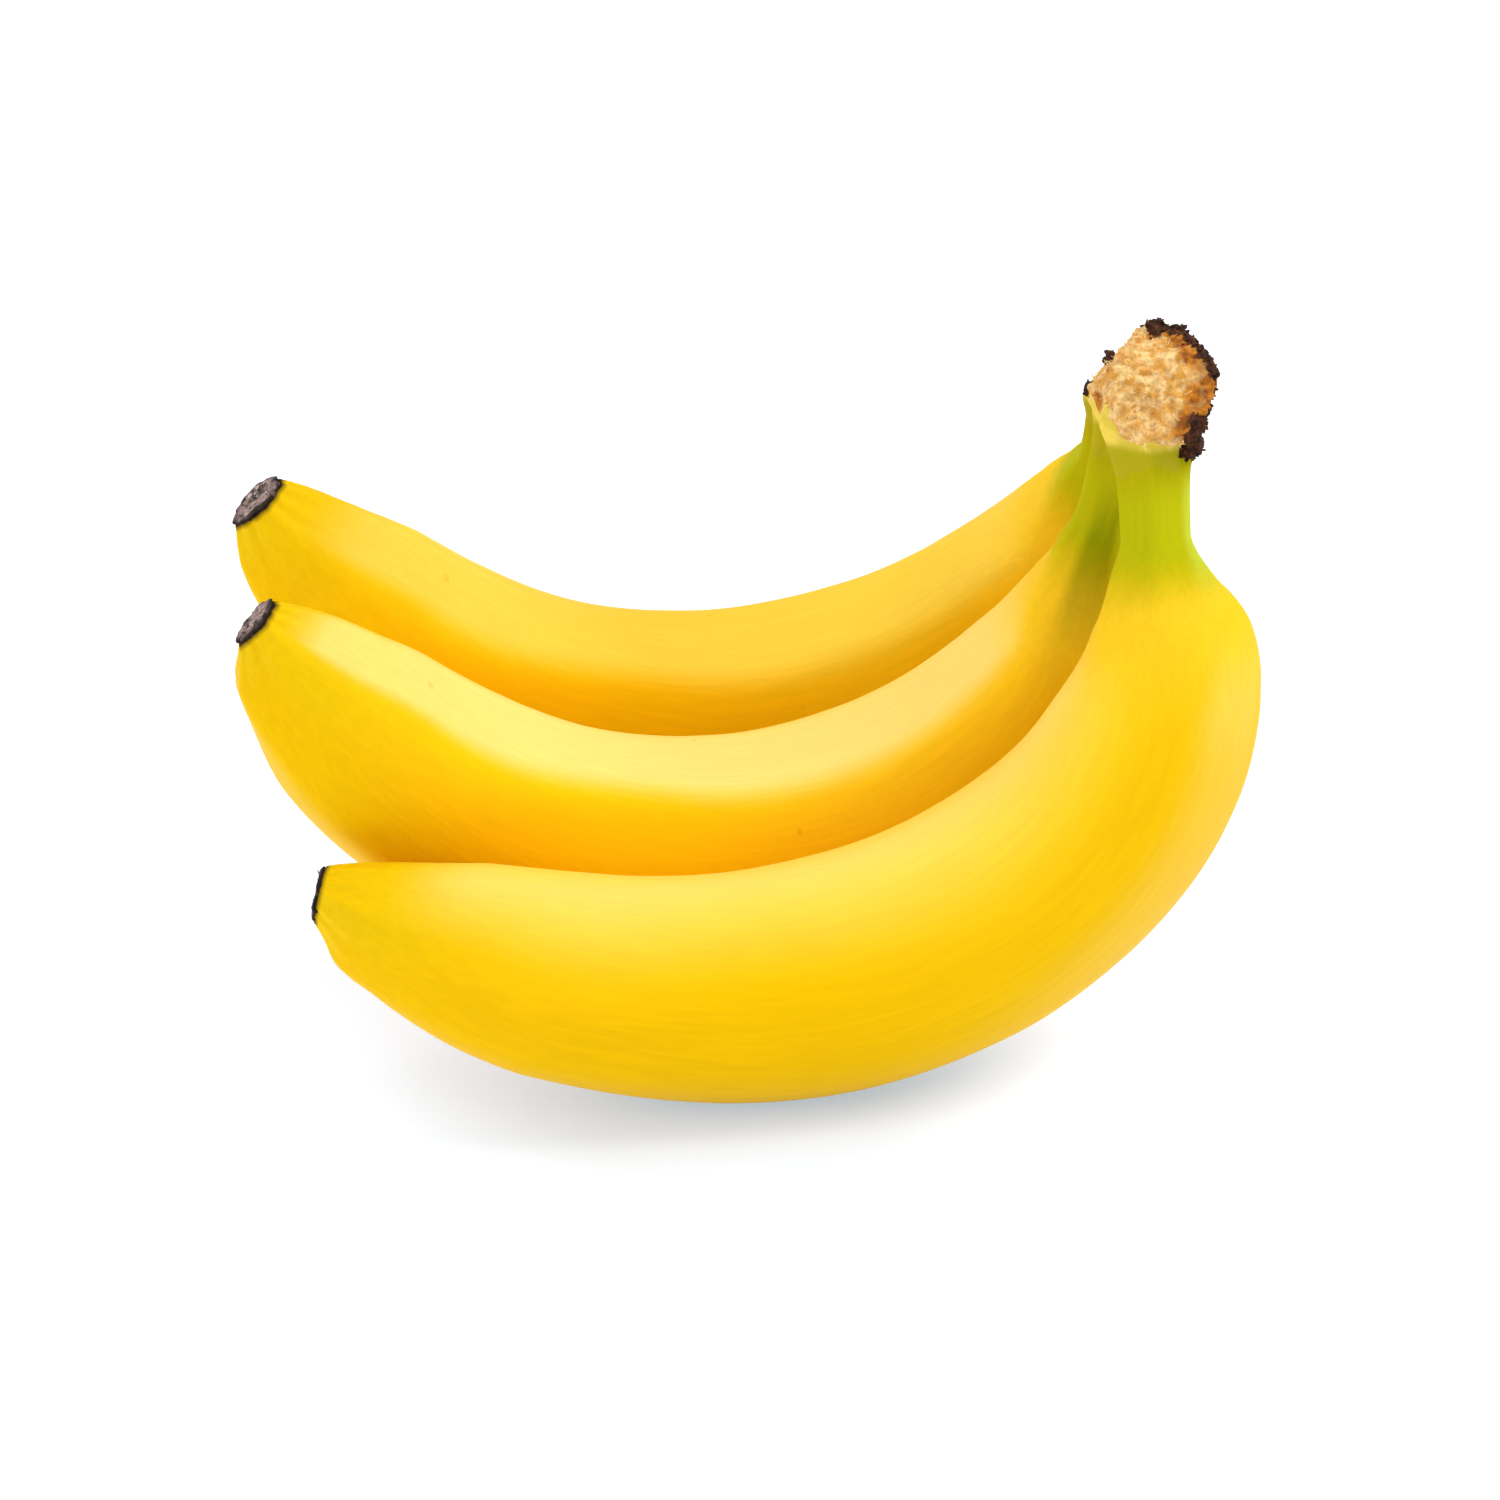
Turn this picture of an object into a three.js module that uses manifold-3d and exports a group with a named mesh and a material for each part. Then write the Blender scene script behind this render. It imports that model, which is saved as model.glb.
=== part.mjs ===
// A cluster of three ripe bananas, still joined at the cut crown and lying on their outer curves.
// Millimetres and degrees, +Z up. The tips point to -X, the crown is at +X, and the fingers
// stand side by side along Y. The origin is on the surface, under the middle of the cluster.
import * as THREE from "three";
import { mergeVertices } from "three/addons/utils/BufferGeometryUtils.js";
import Module from "manifold-3d";

const wasm = await Module();
wasm.setup();

// ---------------------------------------------------------------- driving dimensions

const GAP = 0.3; // between neighbouring pieces
const RING_SIDES = 20; // points round a finger; a multiple of 10 puts points on its five ridges
const RINGS = 46; // cross-sections along a finger
const RING_CROWDING = 0.6; // how much closer they stand at the two ends; 0 is evenly
const PATH_STEPS = 240; // steps that a finger's centre line is worked out in

// How much a ridge stands out of the round section, and a side falls in, as a share of the radius.
const RIDGE = 0.03;

// Radius of a finger as a share of its full radius, at shares of its length: a stalk that widens
// into the crown, a shoulder, a long full body and a blunt taper. The tip has its own radius.
const GIRTH = [
  [0, 0.31],
  [0.04, 0.285],
  [0.085, 0.275],
  [0.122, 0.425],
  [0.163, 0.67],
  [0.21, 0.805],
  [0.27, 0.91],
  [0.35, 0.965],
  [0.46, 1],
  [0.58, 0.99],
  [0.7, 0.93],
  [0.8, 0.865],
  [0.88, 0.775],
  [0.94, 0.6],
  [0.975, 0.455],
];

// Each stalk is stretched across the row where it runs into the crown.
const ROOT_STRETCH = 0.17;
const ROOT_LENGTH = 0.07; // share of the finger's length over which the stretch fades
const ROOT_OVERRUN = 4; // mm of stalk above its root, trimmed off along the crown's underside

// The outer side bulges just below the stalk: the centre line swings out there first. Both are
// shares of the finger's length.
const SHOULDER_AT = 0.15;
const SHOULDER_SPREAD = 0.045;

// The sideways swing of the heading, as shares of the finger's length: from sideFrom it fades out
// over the first stretch, to sideTo it builds up over the second, and tipTurn comes with the third.
const FADE_STRETCH = [0.02, 0.5];
const ARRIVE_STRETCH = [0.5, 1];
const TIP_STRETCH = [0.8, 1];

// root: where the finger's centre line meets the crown. tip: radius at the far end. straight: share
// of the length before the bend starts. lag and lead: how the bend is spread along the finger. The
// heading climbs from `from` to `to` in the plane of the bend, after dropping by `shoulder` where the
// outer side bulges. It swings sideways from sideFrom to sideTo, then on by tipTurn. yaw turns the
// plane of the bend about the vertical, and lean tips it over sideways. Angles are in degrees.
const FINGERS = {
  front: {
    root: [57.9, 50, 92.3], length: 183.5, radius: 17.7, tip: 4.5,
    straight: 0.14, lag: 0.14, lead: 0.76, shoulder: 11,
    from: -86.6, to: 25.8, sideFrom: -31.2, sideTo: 4.2, tipTurn: 16.7, yaw: -12.8, lean: -4.7,
  },
  middle: {
    root: [57.4, 62, 89.2], length: 199.3, radius: 18.3, tip: 4.1,
    straight: 0.14, lag: 0.22, lead: 0.62, shoulder: 17.2,
    from: -76.9, to: 54.4, sideFrom: -10.7, sideTo: -0.1, tipTurn: 20.5, yaw: -14.4, lean: -13.2,
  },
  back: {
    root: [56.7, 74.9, 86.6], length: 204.1, radius: 18, tip: 4.8,
    straight: 0.06, lag: 0.35, lead: 0.51, shoulder: 22.6,
    from: -89.8, to: 52.4, sideFrom: 7.9, sideTo: 1.9, tipTurn: 18.5, yaw: -11.5, lean: -19.6,
  },
};

// The crown: a rounded cushion over the three roots, trimmed by knife cuts.
const CROWN = { centre: [58.5, 61.5, 95], half: [9.5, 23, 10], plan: 3, profile: 2.3 };
const CROWN_TURN = 5; // degrees about the vertical, to follow the row of roots
const CROWN_SLOPE = -11.3; // degrees that its back end dips by
const CROWN_ROUGHNESS = 0.35; // mm that its skin goes in and out by
const CROWN_DETAIL = 8; // subdivisions of the icosahedron that the cushion is made from
// The underside slopes down from the front root to the back one.
const UNDERSIDE = { point: [58, 58.5, 89.8], normal: [0, 0.196, 0.98] };
const CUTS = [
  { name: "front slice", point: [58, 40.5, 95.5], normal: [-0.1, -0.68, 0.73] },
  { name: "top slice", point: [58, 60, 103], normal: [-0.1, 0.05, 0.99] },
  { name: "rear slice", point: [58, 74, 96], normal: [0, 0.6, 0.8] },
  { name: "left bevel", point: [54.1, 62, 98], normal: [-0.73, 0.34, 0.59] },
  { name: "upper right bevel", point: [61.8, 64, 100.4], normal: [0.52, 0.43, 0.74] },
  { name: "right bevel", point: [65.7, 60, 97], normal: [0.87, 0.25, 0.43] },
  { name: "right undercut", point: [65.3, 50, 93.6], normal: [0.96, -0.14, -0.25] },
];
const KNIFE = 60; // mm, side of the block that a cut takes away
const SURFACE = 400; // mm, side of the surface that the cluster lies on
const KNIFE_STEPS = 30; // facets along the torn face of that block
const TEAR = 0.35; // mm, depth of the tearing that the fibres leave on a cut face

// A dried flower end: [mm beyond the fruit, share of the fruit's end radius] for each ring.
const TIP = [[GAP, 0.96], [0.7, 1.03], [1.2, 0.97], [1.5, 0.8], [1.7, 0.5], [1.4, 0.2]];
const TIP_RAGGED = 0.09; // share by which its rim goes in and out
const SKIN_WAVE = 2.2; // mm, size of the lumps in the crown's skin
const TEAR_WAVE = 1.1; // mm, size of the tears in its cut faces

const PEEL_YELLOW = { color: 0xf6bf14, roughness: 0.42, metalness: 0 };
const CUT_FLESH = { color: 0xd9a45c, roughness: 0.9, metalness: 0 };
const DRIED_BLACK = { color: 0x3a2c24, roughness: 0.95, metalness: 0 };

// ---------------------------------------------------------------- small tools

const vector = ([x, y, z]) => new THREE.Vector3(x, y, z);
const radians = THREE.MathUtils.degToRad;

// Smooth, repeatable unevenness between about -1 and 1.
function unevenness(p, wave) {
  const a = Math.sin((p.x * 1.3 + p.y * 0.4) / wave + 1.7);
  const b = Math.sin((p.y * 1.1 - p.z * 0.7) / wave + 4.2);
  const c = Math.sin((p.z * 1.2 + p.x * 0.8) / wave + 0.6);
  return (a + b + c) / 3 + 0.5 * a * b;
}

// Value at x of a monotone curve through [x, y] points.
function curveThrough(points, x) {
  const last = points.length - 2;
  const i = Math.min(Math.max(points.findIndex(([px]) => px > x) - 1, 0), last);
  const k = x >= points[last + 1][0] ? last : i;
  const rise = (j) => (points[j + 1][1] - points[j][1]) / (points[j + 1][0] - points[j][0]);
  const slope = (j) => {
    if (j === 0) return rise(0);
    if (j === last + 1) return rise(last);
    const [before, after] = [rise(j - 1), rise(j)];
    return before * after <= 0 ? 0 : (2 * before * after) / (before + after);
  };
  const width = points[k + 1][0] - points[k][0];
  const t = (x - points[k][0]) / width;
  const y0 = points[k][1] * (1 + 2 * t) * (1 - t) ** 2;
  const y1 = points[k + 1][1] * t * t * (3 - 2 * t);
  return y0 + y1 + width * (slope(k) * t * (1 - t) ** 2 - slope(k + 1) * t * t * (1 - t));
}

// A closed surface through rings that all have the same number of points, counter-clockwise about
// the way from the first ring to the last, with a fan over each end.
function loft(rings) {
  const sides = rings[0].length;
  const middle = (ring) => ring.reduce((sum, p) => sum.add(p), new THREE.Vector3()).divideScalar(sides);
  const points = [...rings.flat(), middle(rings[0]), middle(rings.at(-1))];
  const index = [];
  const first = rings.length * sides;
  const lastRing = first - sides;
  for (let i = 0; i < sides; i++) {
    const next = (i + 1) % sides;
    for (let start = 0; start < lastRing; start += sides) {
      const [a, b] = [start + i, start + next];
      index.push(a, b, b + sides, a, b + sides, a + sides);
    }
    index.push(first, next, i, first + 1, lastRing + i, lastRing + next);
  }
  const geometry = new THREE.BufferGeometry().setFromPoints(points);
  geometry.setIndex(index);
  return geometry;
}

function toSolid(geometry) {
  const bare = geometry.clone();
  bare.deleteAttribute("normal");
  bare.deleteAttribute("uv");
  const merged = mergeVertices(bare, 1e-4);
  const mesh = new wasm.Mesh({
    numProp: 3,
    vertProperties: new Float32Array(merged.attributes.position.array),
    triVerts: new Uint32Array(merged.index.array),
  });
  return new wasm.Manifold(mesh);
}

function toGeometry(solid) {
  const mesh = solid.getMesh();
  const geometry = new THREE.BufferGeometry();
  geometry.setAttribute("position", new THREE.BufferAttribute(mesh.vertProperties, 3));
  geometry.setIndex(new THREE.BufferAttribute(mesh.triVerts, 1));
  geometry.computeVertexNormals();
  return geometry;
}

// A block whose lower face lies on the plane through `point` and faces against `normal`. A depth
// of tearing makes that face uneven.
function block(point, normal, size, tearing = 0) {
  const steps = tearing > 0 ? KNIFE_STEPS : 1;
  const geometry = new THREE.BoxGeometry(size, size, size, steps, steps, 1);
  geometry.translate(0, 0, size / 2);
  geometry.applyQuaternion(
    new THREE.Quaternion().setFromUnitVectors(new THREE.Vector3(0, 0, 1), normal.clone().normalize()),
  );
  geometry.translate(point.x, point.y, point.z);
  const position = geometry.attributes.position;
  const p = new THREE.Vector3();
  for (let i = 0; i < position.count && tearing > 0; i++) {
    p.fromBufferAttribute(position, i);
    p.addScaledVector(normal, tearing * unevenness(p, TEAR_WAVE));
    position.setXYZ(i, p.x, p.y, p.z);
  }
  return toSolid(geometry);
}

// ---------------------------------------------------------------- fingers

// Heading at a share s of the finger's length, with the inner and sideways directions of the
// section there. Inner is the side that the finger curls towards.
function sectionFrame(finger, s) {
  const t = Math.max(0, (s - finger.straight) / (1 - finger.straight));
  const spread = t - (finger.lag * Math.sin(2 * Math.PI * t)) / (2 * Math.PI) + finger.lead * (t - t * t);
  const swing = finger.shoulder * Math.exp(-(((s - SHOULDER_AT) / SHOULDER_SPREAD) ** 2));
  const climb = radians(finger.from + (finger.to - finger.from) * spread - swing);
  const [fade, arrive, turn] = [FADE_STRETCH, ARRIVE_STRETCH, TIP_STRETCH].map((stretch) =>
    THREE.MathUtils.smoothstep(s, ...stretch),
  );
  const side = radians(finger.sideFrom * (1 - fade) + finger.sideTo * arrive + finger.tipTurn * turn);
  const yaw = radians(finger.yaw);
  const lean = radians(finger.lean);
  const along = new THREE.Vector3(-Math.cos(yaw), Math.sin(yaw), 0);
  const level = new THREE.Vector3(Math.sin(yaw), Math.cos(yaw), 0);
  const up = new THREE.Vector3(0, 0, Math.cos(lean)).addScaledVector(level, Math.sin(lean));
  const across = level.clone().multiplyScalar(Math.cos(lean)).setZ(-Math.sin(lean));
  const mix = (a, b, c) =>
    new THREE.Vector3().addScaledVector(along, a).addScaledVector(up, b).addScaledVector(across, c);
  return {
    s,
    heading: mix(Math.cos(side) * Math.cos(climb), Math.cos(side) * Math.sin(climb), Math.sin(side)),
    inner: mix(-Math.sin(climb), Math.cos(climb), 0),
    sideways: mix(-Math.sin(side) * Math.cos(climb), -Math.sin(side) * Math.sin(climb), Math.cos(side)),
  };
}

// The centre line: frames at even steps, each with its point.
function centreLine(finger) {
  const frames = [{ ...sectionFrame(finger, 0), point: vector(finger.root) }];
  for (let i = 1; i <= PATH_STEPS; i++) {
    const before = frames[i - 1];
    const frame = sectionFrame(finger, i / PATH_STEPS);
    const step = before.heading.clone().add(frame.heading).multiplyScalar(finger.length / PATH_STEPS / 2);
    frames.push({ ...frame, point: before.point.clone().add(step) });
  }
  return frames;
}

function radiusAt(finger, s) {
  return finger.radius * curveThrough([...GIRTH, [1, finger.tip / finger.radius]], s);
}

// Points round the section: a soft pentagon with one flat side inward and one ridge outward.
function sectionRing(finger, frame) {
  const radius = radiusAt(finger, frame.s);
  const stretch = ROOT_STRETCH * Math.max(0, 1 - frame.s / ROOT_LENGTH) ** 2;
  return Array.from({ length: RING_SIDES }, (_, i) => {
    const angle = (2 * Math.PI * i) / RING_SIDES;
    const ridged = radius * (1 - RIDGE * Math.cos(5 * angle));
    const inward = ridged * Math.cos(angle) * (1 + stretch);
    const point = frame.point.clone().addScaledVector(frame.inner, inward);
    return point.addScaledVector(frame.sideways, ridged * Math.sin(angle));
  });
}

// Rings stand closer together at the stalk and at the tip.
function ringIndex(i) {
  const u = i / (RINGS - 1);
  return Math.round(PATH_STEPS * (u - (RING_CROWDING * Math.sin(2 * Math.PI * u)) / (2 * Math.PI)));
}

// Stalk and fruit, trimmed along the crown's underside and pressed flat where they rest.
function fingerGeometry(finger) {
  const frames = centreLine(finger);
  const rings = Array.from({ length: RINGS }, (_, i) => sectionRing(finger, frames[ringIndex(i)]));
  const overrun = frames[0].heading.clone().multiplyScalar(-ROOT_OVERRUN);
  rings.unshift(rings[0].map((p) => p.clone().add(overrun)));
  const normal = vector(UNDERSIDE.normal).normalize();
  const crownSide = block(vector(UNDERSIDE.point), normal, KNIFE);
  const ground = block(new THREE.Vector3(), new THREE.Vector3(0, 0, -1), SURFACE);
  return toGeometry(toSolid(loft(rings)).subtract(crownSide).subtract(ground));
}

// The dried flower end: a short ragged plug with a dished middle.
function tipGeometry(finger) {
  const end = centreLine(finger).at(-1);
  const rings = TIP.map(([beyond, share]) =>
    Array.from({ length: RING_SIDES }, (_, i) => {
      const angle = (2 * Math.PI * i) / RING_SIDES;
      const ragged = 1 + TIP_RAGGED * Math.sin(5 * angle + finger.length) * Math.sin(2 * angle + beyond);
      const point = end.point.clone().addScaledVector(end.heading, beyond);
      point.addScaledVector(end.inner, finger.tip * share * ragged * Math.cos(angle));
      return point.addScaledVector(end.sideways, finger.tip * share * ragged * Math.sin(angle));
    }),
  );
  return toGeometry(toSolid(loft(rings)));
}

// ---------------------------------------------------------------- crown

// The cushion before it is trimmed: a rounded block with an uneven skin.
function cushionGeometry() {
  const geometry = mergeVertices(bareIcosahedron());
  const half = vector(CROWN.half);
  const position = geometry.attributes.position;
  const p = new THREE.Vector3();
  for (let i = 0; i < position.count; i++) {
    p.fromBufferAttribute(position, i);
    const level = Math.abs(p.x / half.x) ** CROWN.plan + Math.abs(p.y / half.y) ** CROWN.plan;
    const reach = level ** (CROWN.profile / CROWN.plan) + Math.abs(p.z / half.z) ** CROWN.profile;
    p.multiplyScalar(reach ** (-1 / CROWN.profile));
    p.addScaledVector(p.clone().normalize(), CROWN_ROUGHNESS * unevenness(p, SKIN_WAVE));
    position.setXYZ(i, p.x, p.y, p.z);
  }
  geometry.rotateX(radians(CROWN_SLOPE)).rotateZ(radians(CROWN_TURN));
  return geometry.translate(...CROWN.centre);
}

function bareIcosahedron() {
  const geometry = new THREE.IcosahedronGeometry(1, CROWN_DETAIL);
  geometry.deleteAttribute("normal");
  geometry.deleteAttribute("uv");
  return geometry;
}

function crownGeometry() {
  let solid = toSolid(cushionGeometry());
  for (const cut of CUTS) {
    solid = solid.subtract(block(vector(cut.point), vector(cut.normal).normalize(), KNIFE, TEAR));
  }
  const normal = vector(UNDERSIDE.normal).normalize();
  const foot = vector(UNDERSIDE.point).addScaledVector(normal, GAP);
  return toGeometry(solid.subtract(block(foot, normal.negate(), KNIFE)));
}

// ---------------------------------------------------------------- assembly

function piece(name, geometry, look) {
  const mesh = new THREE.Mesh(geometry, new THREE.MeshStandardMaterial(look));
  mesh.name = name;
  return mesh;
}

function bananaCluster() {
  const cluster = new THREE.Group();
  cluster.add(piece("crown", crownGeometry(), CUT_FLESH));
  for (const [place, finger] of Object.entries(FINGERS)) {
    cluster.add(piece(`banana_${place}`, fingerGeometry(finger), PEEL_YELLOW));
    cluster.add(piece(`tip_${place}`, tipGeometry(finger), DRIED_BLACK));
  }
  const box = new THREE.Box3().setFromObject(cluster);
  const middle = box.getCenter(new THREE.Vector3());
  cluster.position.set(-middle.x, -middle.y, -box.min.z);
  return cluster;
}

export default bananaCluster();
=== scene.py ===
"""A small bunch of ripe bananas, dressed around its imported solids.

Each finger is swept along its own bent centre line and given ridges and wrinkles, the cut crown is torn
and charred along its edges, and each finger ends in its dried flower. Lengths in the size tables are in
millimetres, in the construction frame that the driving sizes are given in; meshes are in metres.
"""

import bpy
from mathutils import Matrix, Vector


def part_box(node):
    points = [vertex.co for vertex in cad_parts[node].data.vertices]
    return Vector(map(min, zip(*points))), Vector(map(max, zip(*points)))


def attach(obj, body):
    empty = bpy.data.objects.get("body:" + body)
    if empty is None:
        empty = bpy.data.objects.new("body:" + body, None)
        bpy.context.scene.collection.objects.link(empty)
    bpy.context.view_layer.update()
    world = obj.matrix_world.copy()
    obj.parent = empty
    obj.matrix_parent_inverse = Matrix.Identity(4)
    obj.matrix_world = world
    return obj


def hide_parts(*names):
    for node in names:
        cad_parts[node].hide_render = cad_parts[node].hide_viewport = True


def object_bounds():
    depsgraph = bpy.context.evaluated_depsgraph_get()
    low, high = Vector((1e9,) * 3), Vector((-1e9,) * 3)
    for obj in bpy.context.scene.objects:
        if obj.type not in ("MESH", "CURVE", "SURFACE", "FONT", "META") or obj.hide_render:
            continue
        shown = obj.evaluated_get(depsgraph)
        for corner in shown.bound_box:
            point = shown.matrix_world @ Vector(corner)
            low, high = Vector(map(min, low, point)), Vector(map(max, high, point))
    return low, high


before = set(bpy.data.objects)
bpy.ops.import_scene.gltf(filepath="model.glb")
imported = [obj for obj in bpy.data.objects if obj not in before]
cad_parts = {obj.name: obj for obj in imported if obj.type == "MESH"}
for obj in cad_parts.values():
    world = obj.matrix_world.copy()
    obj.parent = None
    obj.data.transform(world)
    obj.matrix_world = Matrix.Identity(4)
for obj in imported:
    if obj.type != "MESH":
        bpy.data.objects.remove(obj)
CAD_BOX = [list(corner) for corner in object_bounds()]

import logging
import math
from dataclasses import dataclass, field, replace
from enum import Enum

import bmesh
import bpy
import numpy as np
from bpy.types import ID, Material, Node, NodeSocket, NodeTree, Object
from mathutils import Vector

log = logging.getLogger("bananas")

Array = np.ndarray
Pair = tuple[float, float]
Triple = tuple[float, float, float]
Colour = tuple[float, float, float, float]
Knots = tuple[tuple[float, ...], ...]  # rows of a place and the values there, in rising order of place
Solid = tuple[Array, list[tuple[int, ...]]]  # points, and faces as point numbers

MM = 0.001
BODY = "root"
TURN = 2 * math.pi

# Radius of a finger as a share of its full radius, at shares of its length.
GIRTH = (
    (0.0, 0.31), (0.04, 0.285), (0.085, 0.275), (0.122, 0.425), (0.163, 0.67),
    (0.21, 0.805), (0.27, 0.91), (0.35, 0.965), (0.46, 1.0), (0.58, 0.99),
    (0.7, 0.93), (0.8, 0.865), (0.88, 0.775), (0.94, 0.6), (0.975, 0.455),
)
ROOT_STRETCH = 0.17  # share by which a stalk is stretched along the cut where it joins the crown
ROOT_LENGTH = 0.07  # share of the length over which that stretch fades
SHOULDER_AT = 0.15  # share of the length where the outer side bulges
SHOULDER_SPREAD = 0.045
# Stretches of the length over which the first sideways swing fades, the second comes and the tip turns.
SWING_STRETCHES = ((0.02, 0.5), (0.5, 1.0), (0.8, 1.0))
END_STRETCH = (0.975, 1.0)  # where the skin is pursed and drawn out round the dried flower
EVEN = ((0.0, 0.0), (1.0, 0.0))  # a side that follows the round body all along

# A finger's section is a rounded pentagon. Its corners are the peel's five ridges.
RIDGES = 5
RIDGE_SPACING = TURN / RIDGES
STALK_RIDGE = 1.15  # how far the stalk's section goes from a circle to the pentagon
CORNER_POWER = 8.0  # the higher, the tighter the corners
RIDGE_PLACE = -22.0  # degrees from the inner side to the nearest ridge
TWIST_EARLY = (22.0, 0.1, 0.2)  # degrees that the stalk's ridges are turned, and the stretch where that ends
TWIST_LATE = (-24.0, 0.62, 0.9)  # degrees of twist, and the stretch of the length over which it comes
TWIST_END = (-22.0, 0.88, 1.0)
STALK_FADE = (0.06, 0.2)  # share of the length over which the stalk's shape and furrows fade
END_FURROWS = (0.86, 0.97)  # where furrows come again towards the flower
PUCKER_STRETCH = (0.955, 0.995)
PUCKERS = 13.0  # round the end
LUMP_FINENESS = 42.0
FURROW_FINENESS = 900.0
FURROW_LENGTH = 0.07  # the smaller, the longer the furrows
SEED_STEP = (0.37, 0.19, 0.53)  # metres that the noise is moved by from one seed to the next
TORN_FINENESS = (330.0, 850.0)  # of the coarse relief of the crown, and of half as deep a finer one
SKIN_RELIEF = 0.12  # how much of that relief the crown's skin has
SPECK_CORE = 0.55  # share of a speck's reach within which it's full


class Slot(Enum):
    """The record's material slots."""

    PEEL = "peel"
    CUT = "cut_crown"
    DRIED = "dried_end"


# ---------------- numbers and meshes


def srgb(red: int, green: int, blue: int) -> Colour:
    """Linear colour of an 8-bit display colour."""
    linear = [((c / 255 + 0.055) / 1.055) ** 2.4 if c > 10 else c / 255 / 12.92 for c in (red, green, blue)]
    return (*linear, 1.0)


def rising(values: Array, low: float, high: float) -> Array:
    """Smooth rise from 0 at low to 1 at high."""
    t = np.clip((values - low) / (high - low), 0, 1)
    return t * t * (3 - 2 * t)


def falling(values: Array, low: float, high: float) -> Array:
    """Smooth fall from 1 at low to 0 at high."""
    return 1 - rising(values, low, high)


def between(values: Array, come: Pair, go: Pair) -> Array:
    """Smooth rise to 1 over one stretch and fall back to 0 over a later one."""
    return rising(values, *come) * falling(values, *go)


def straight_curve(knots: Knots, places: Array) -> list[Array]:
    """Each of the table's values at these places, straight between its rows."""
    at, *columns = np.array(knots).T
    return [np.interp(places, at, column) for column in columns]


def monotone_curve(knots: Knots, places: Array) -> Array:
    """Values at these places of a monotone curve through the table's rows.

    Args:
        knots: Pairs of place and value, in rising order of place.
        places: Places to read the curve at.

    Returns:
        One value for each place.
    """
    px, py = np.array(knots).T
    rise = np.diff(py) / np.diff(px)
    slope = np.empty_like(py)
    slope[0] = rise[0]
    slope[-1] = rise[-1]
    product = rise[:-1] * rise[1:]
    turning = product <= 0
    slope[1:-1] = np.where(turning, 0, 2 * product / np.where(turning, 1, rise[:-1] + rise[1:]))
    k = np.clip(np.searchsorted(px, places, side="right") - 1, 0, len(px) - 2)
    width = px[k + 1] - px[k]
    t = (places - px[k]) / width
    start = py[k] * (1 + 2 * t) * (1 - t) ** 2
    end = py[k + 1] * t * t * (3 - 2 * t)
    return start + end + width * (slope[k] * t * (1 - t) ** 2 - slope[k + 1] * t * t * (1 - t))


def apart(angle: Array, other: Array | float) -> Array:
    """Degrees between two directions, from 0 to 180."""
    return np.abs((angle - other + 180) % 360 - 180)


def round_angles(sides: int) -> Array:
    """Angles in radians of the corners of a regular section."""
    return np.arange(sides) * (TURN / sides)


def pentagon(angle: Array) -> Array:
    """Radius of the rounded pentagon at angles from one of its corners, with flats at 1 from the middle."""
    faces = [np.clip(np.cos(angle - (k + 0.5) * RIDGE_SPACING), 0, None) for k in range(RIDGES)]
    return np.sum(np.power(faces, CORNER_POWER), axis=0) ** (-1 / CORNER_POWER)


MEAN_PENTAGON = float(pentagon(np.linspace(0, TURN, 720, endpoint=False)).mean())  # its mean radius


def closed_tube(rings: Array, ends: list[Triple] | None = None) -> Solid:
    """A tube through rings of points, with a fan over each end.

    Args:
        rings: Points, by ring and by side.
        ends: The two points in the middle of the fans. Otherwise they are the middles of the end rings.

    Returns:
        Its points, ring by ring and then the first and the last end's, and its faces.
    """
    count, sides = rings.shape[:2]
    faces = []
    for start in range(0, (count - 1) * sides, sides):
        for i in range(sides):
            after = (i + 1) % sides
            faces.append((start + i, start + after, start + sides + after, start + sides + i))
    first, last = count * sides, (count - 1) * sides
    for i in range(sides):
        after = (i + 1) % sides
        faces += [(first, after, i), (first + 1, last + i, last + after)]
    middles = [rings[0].mean(axis=0), rings[-1].mean(axis=0)] if ends is None else ends
    return np.vstack([rings.reshape(-1, 3), middles]), faces


def capped(values: Array, sides: int, ends: Pair = (0.0, 0.0)) -> Array:
    """A value for each point of a closed tube, from one for each ring, or for each ring and side."""
    return np.append(np.broadcast_to(values.reshape(len(values), -1), (len(values), sides)), ends)


def link(name: str, data: ID) -> Object:
    """A new object in the scene with this data."""
    thing = bpy.data.objects.new(name, data)
    bpy.context.scene.collection.objects.link(thing)
    return thing


def new_piece(name: str, points: Array, faces: list[tuple[int, ...]]) -> Object:
    """A mesh object at the origin, from points in metres and faces as point numbers."""
    mesh = bpy.data.meshes.new(name)
    mesh.from_pydata(points.tolist(), [], faces)
    mesh.update()
    return link(name, mesh)


def store(piece: Object, values: dict[str, Array]) -> None:
    """Keeps one number or one vector a point as named attributes of the piece."""
    for name, value in values.items():
        kind, key = ("FLOAT_VECTOR", "vector") if value.ndim == 2 else ("FLOAT", "value")
        attribute = piece.data.attributes.new(name, kind, "POINT")
        attribute.data.foreach_set(key, np.ascontiguousarray(value, dtype=np.float32).ravel())


def points_of(piece: Object) -> Array:
    """The piece's points, in metres."""
    flat = np.empty(len(piece.data.vertices) * 3)
    piece.data.vertices.foreach_get("co", flat)
    return flat.reshape(-1, 3)


def evaluate(piece: Object, **settings: bool) -> None:
    """Keeps what a piece's modifiers make of it as its plain mesh."""
    bpy.context.view_layer.update()
    graph = bpy.context.evaluated_depsgraph_get()
    piece.data = bpy.data.meshes.new_from_object(piece.evaluated_get(graph), depsgraph=graph, **settings)
    piece.modifiers.clear()


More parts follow.
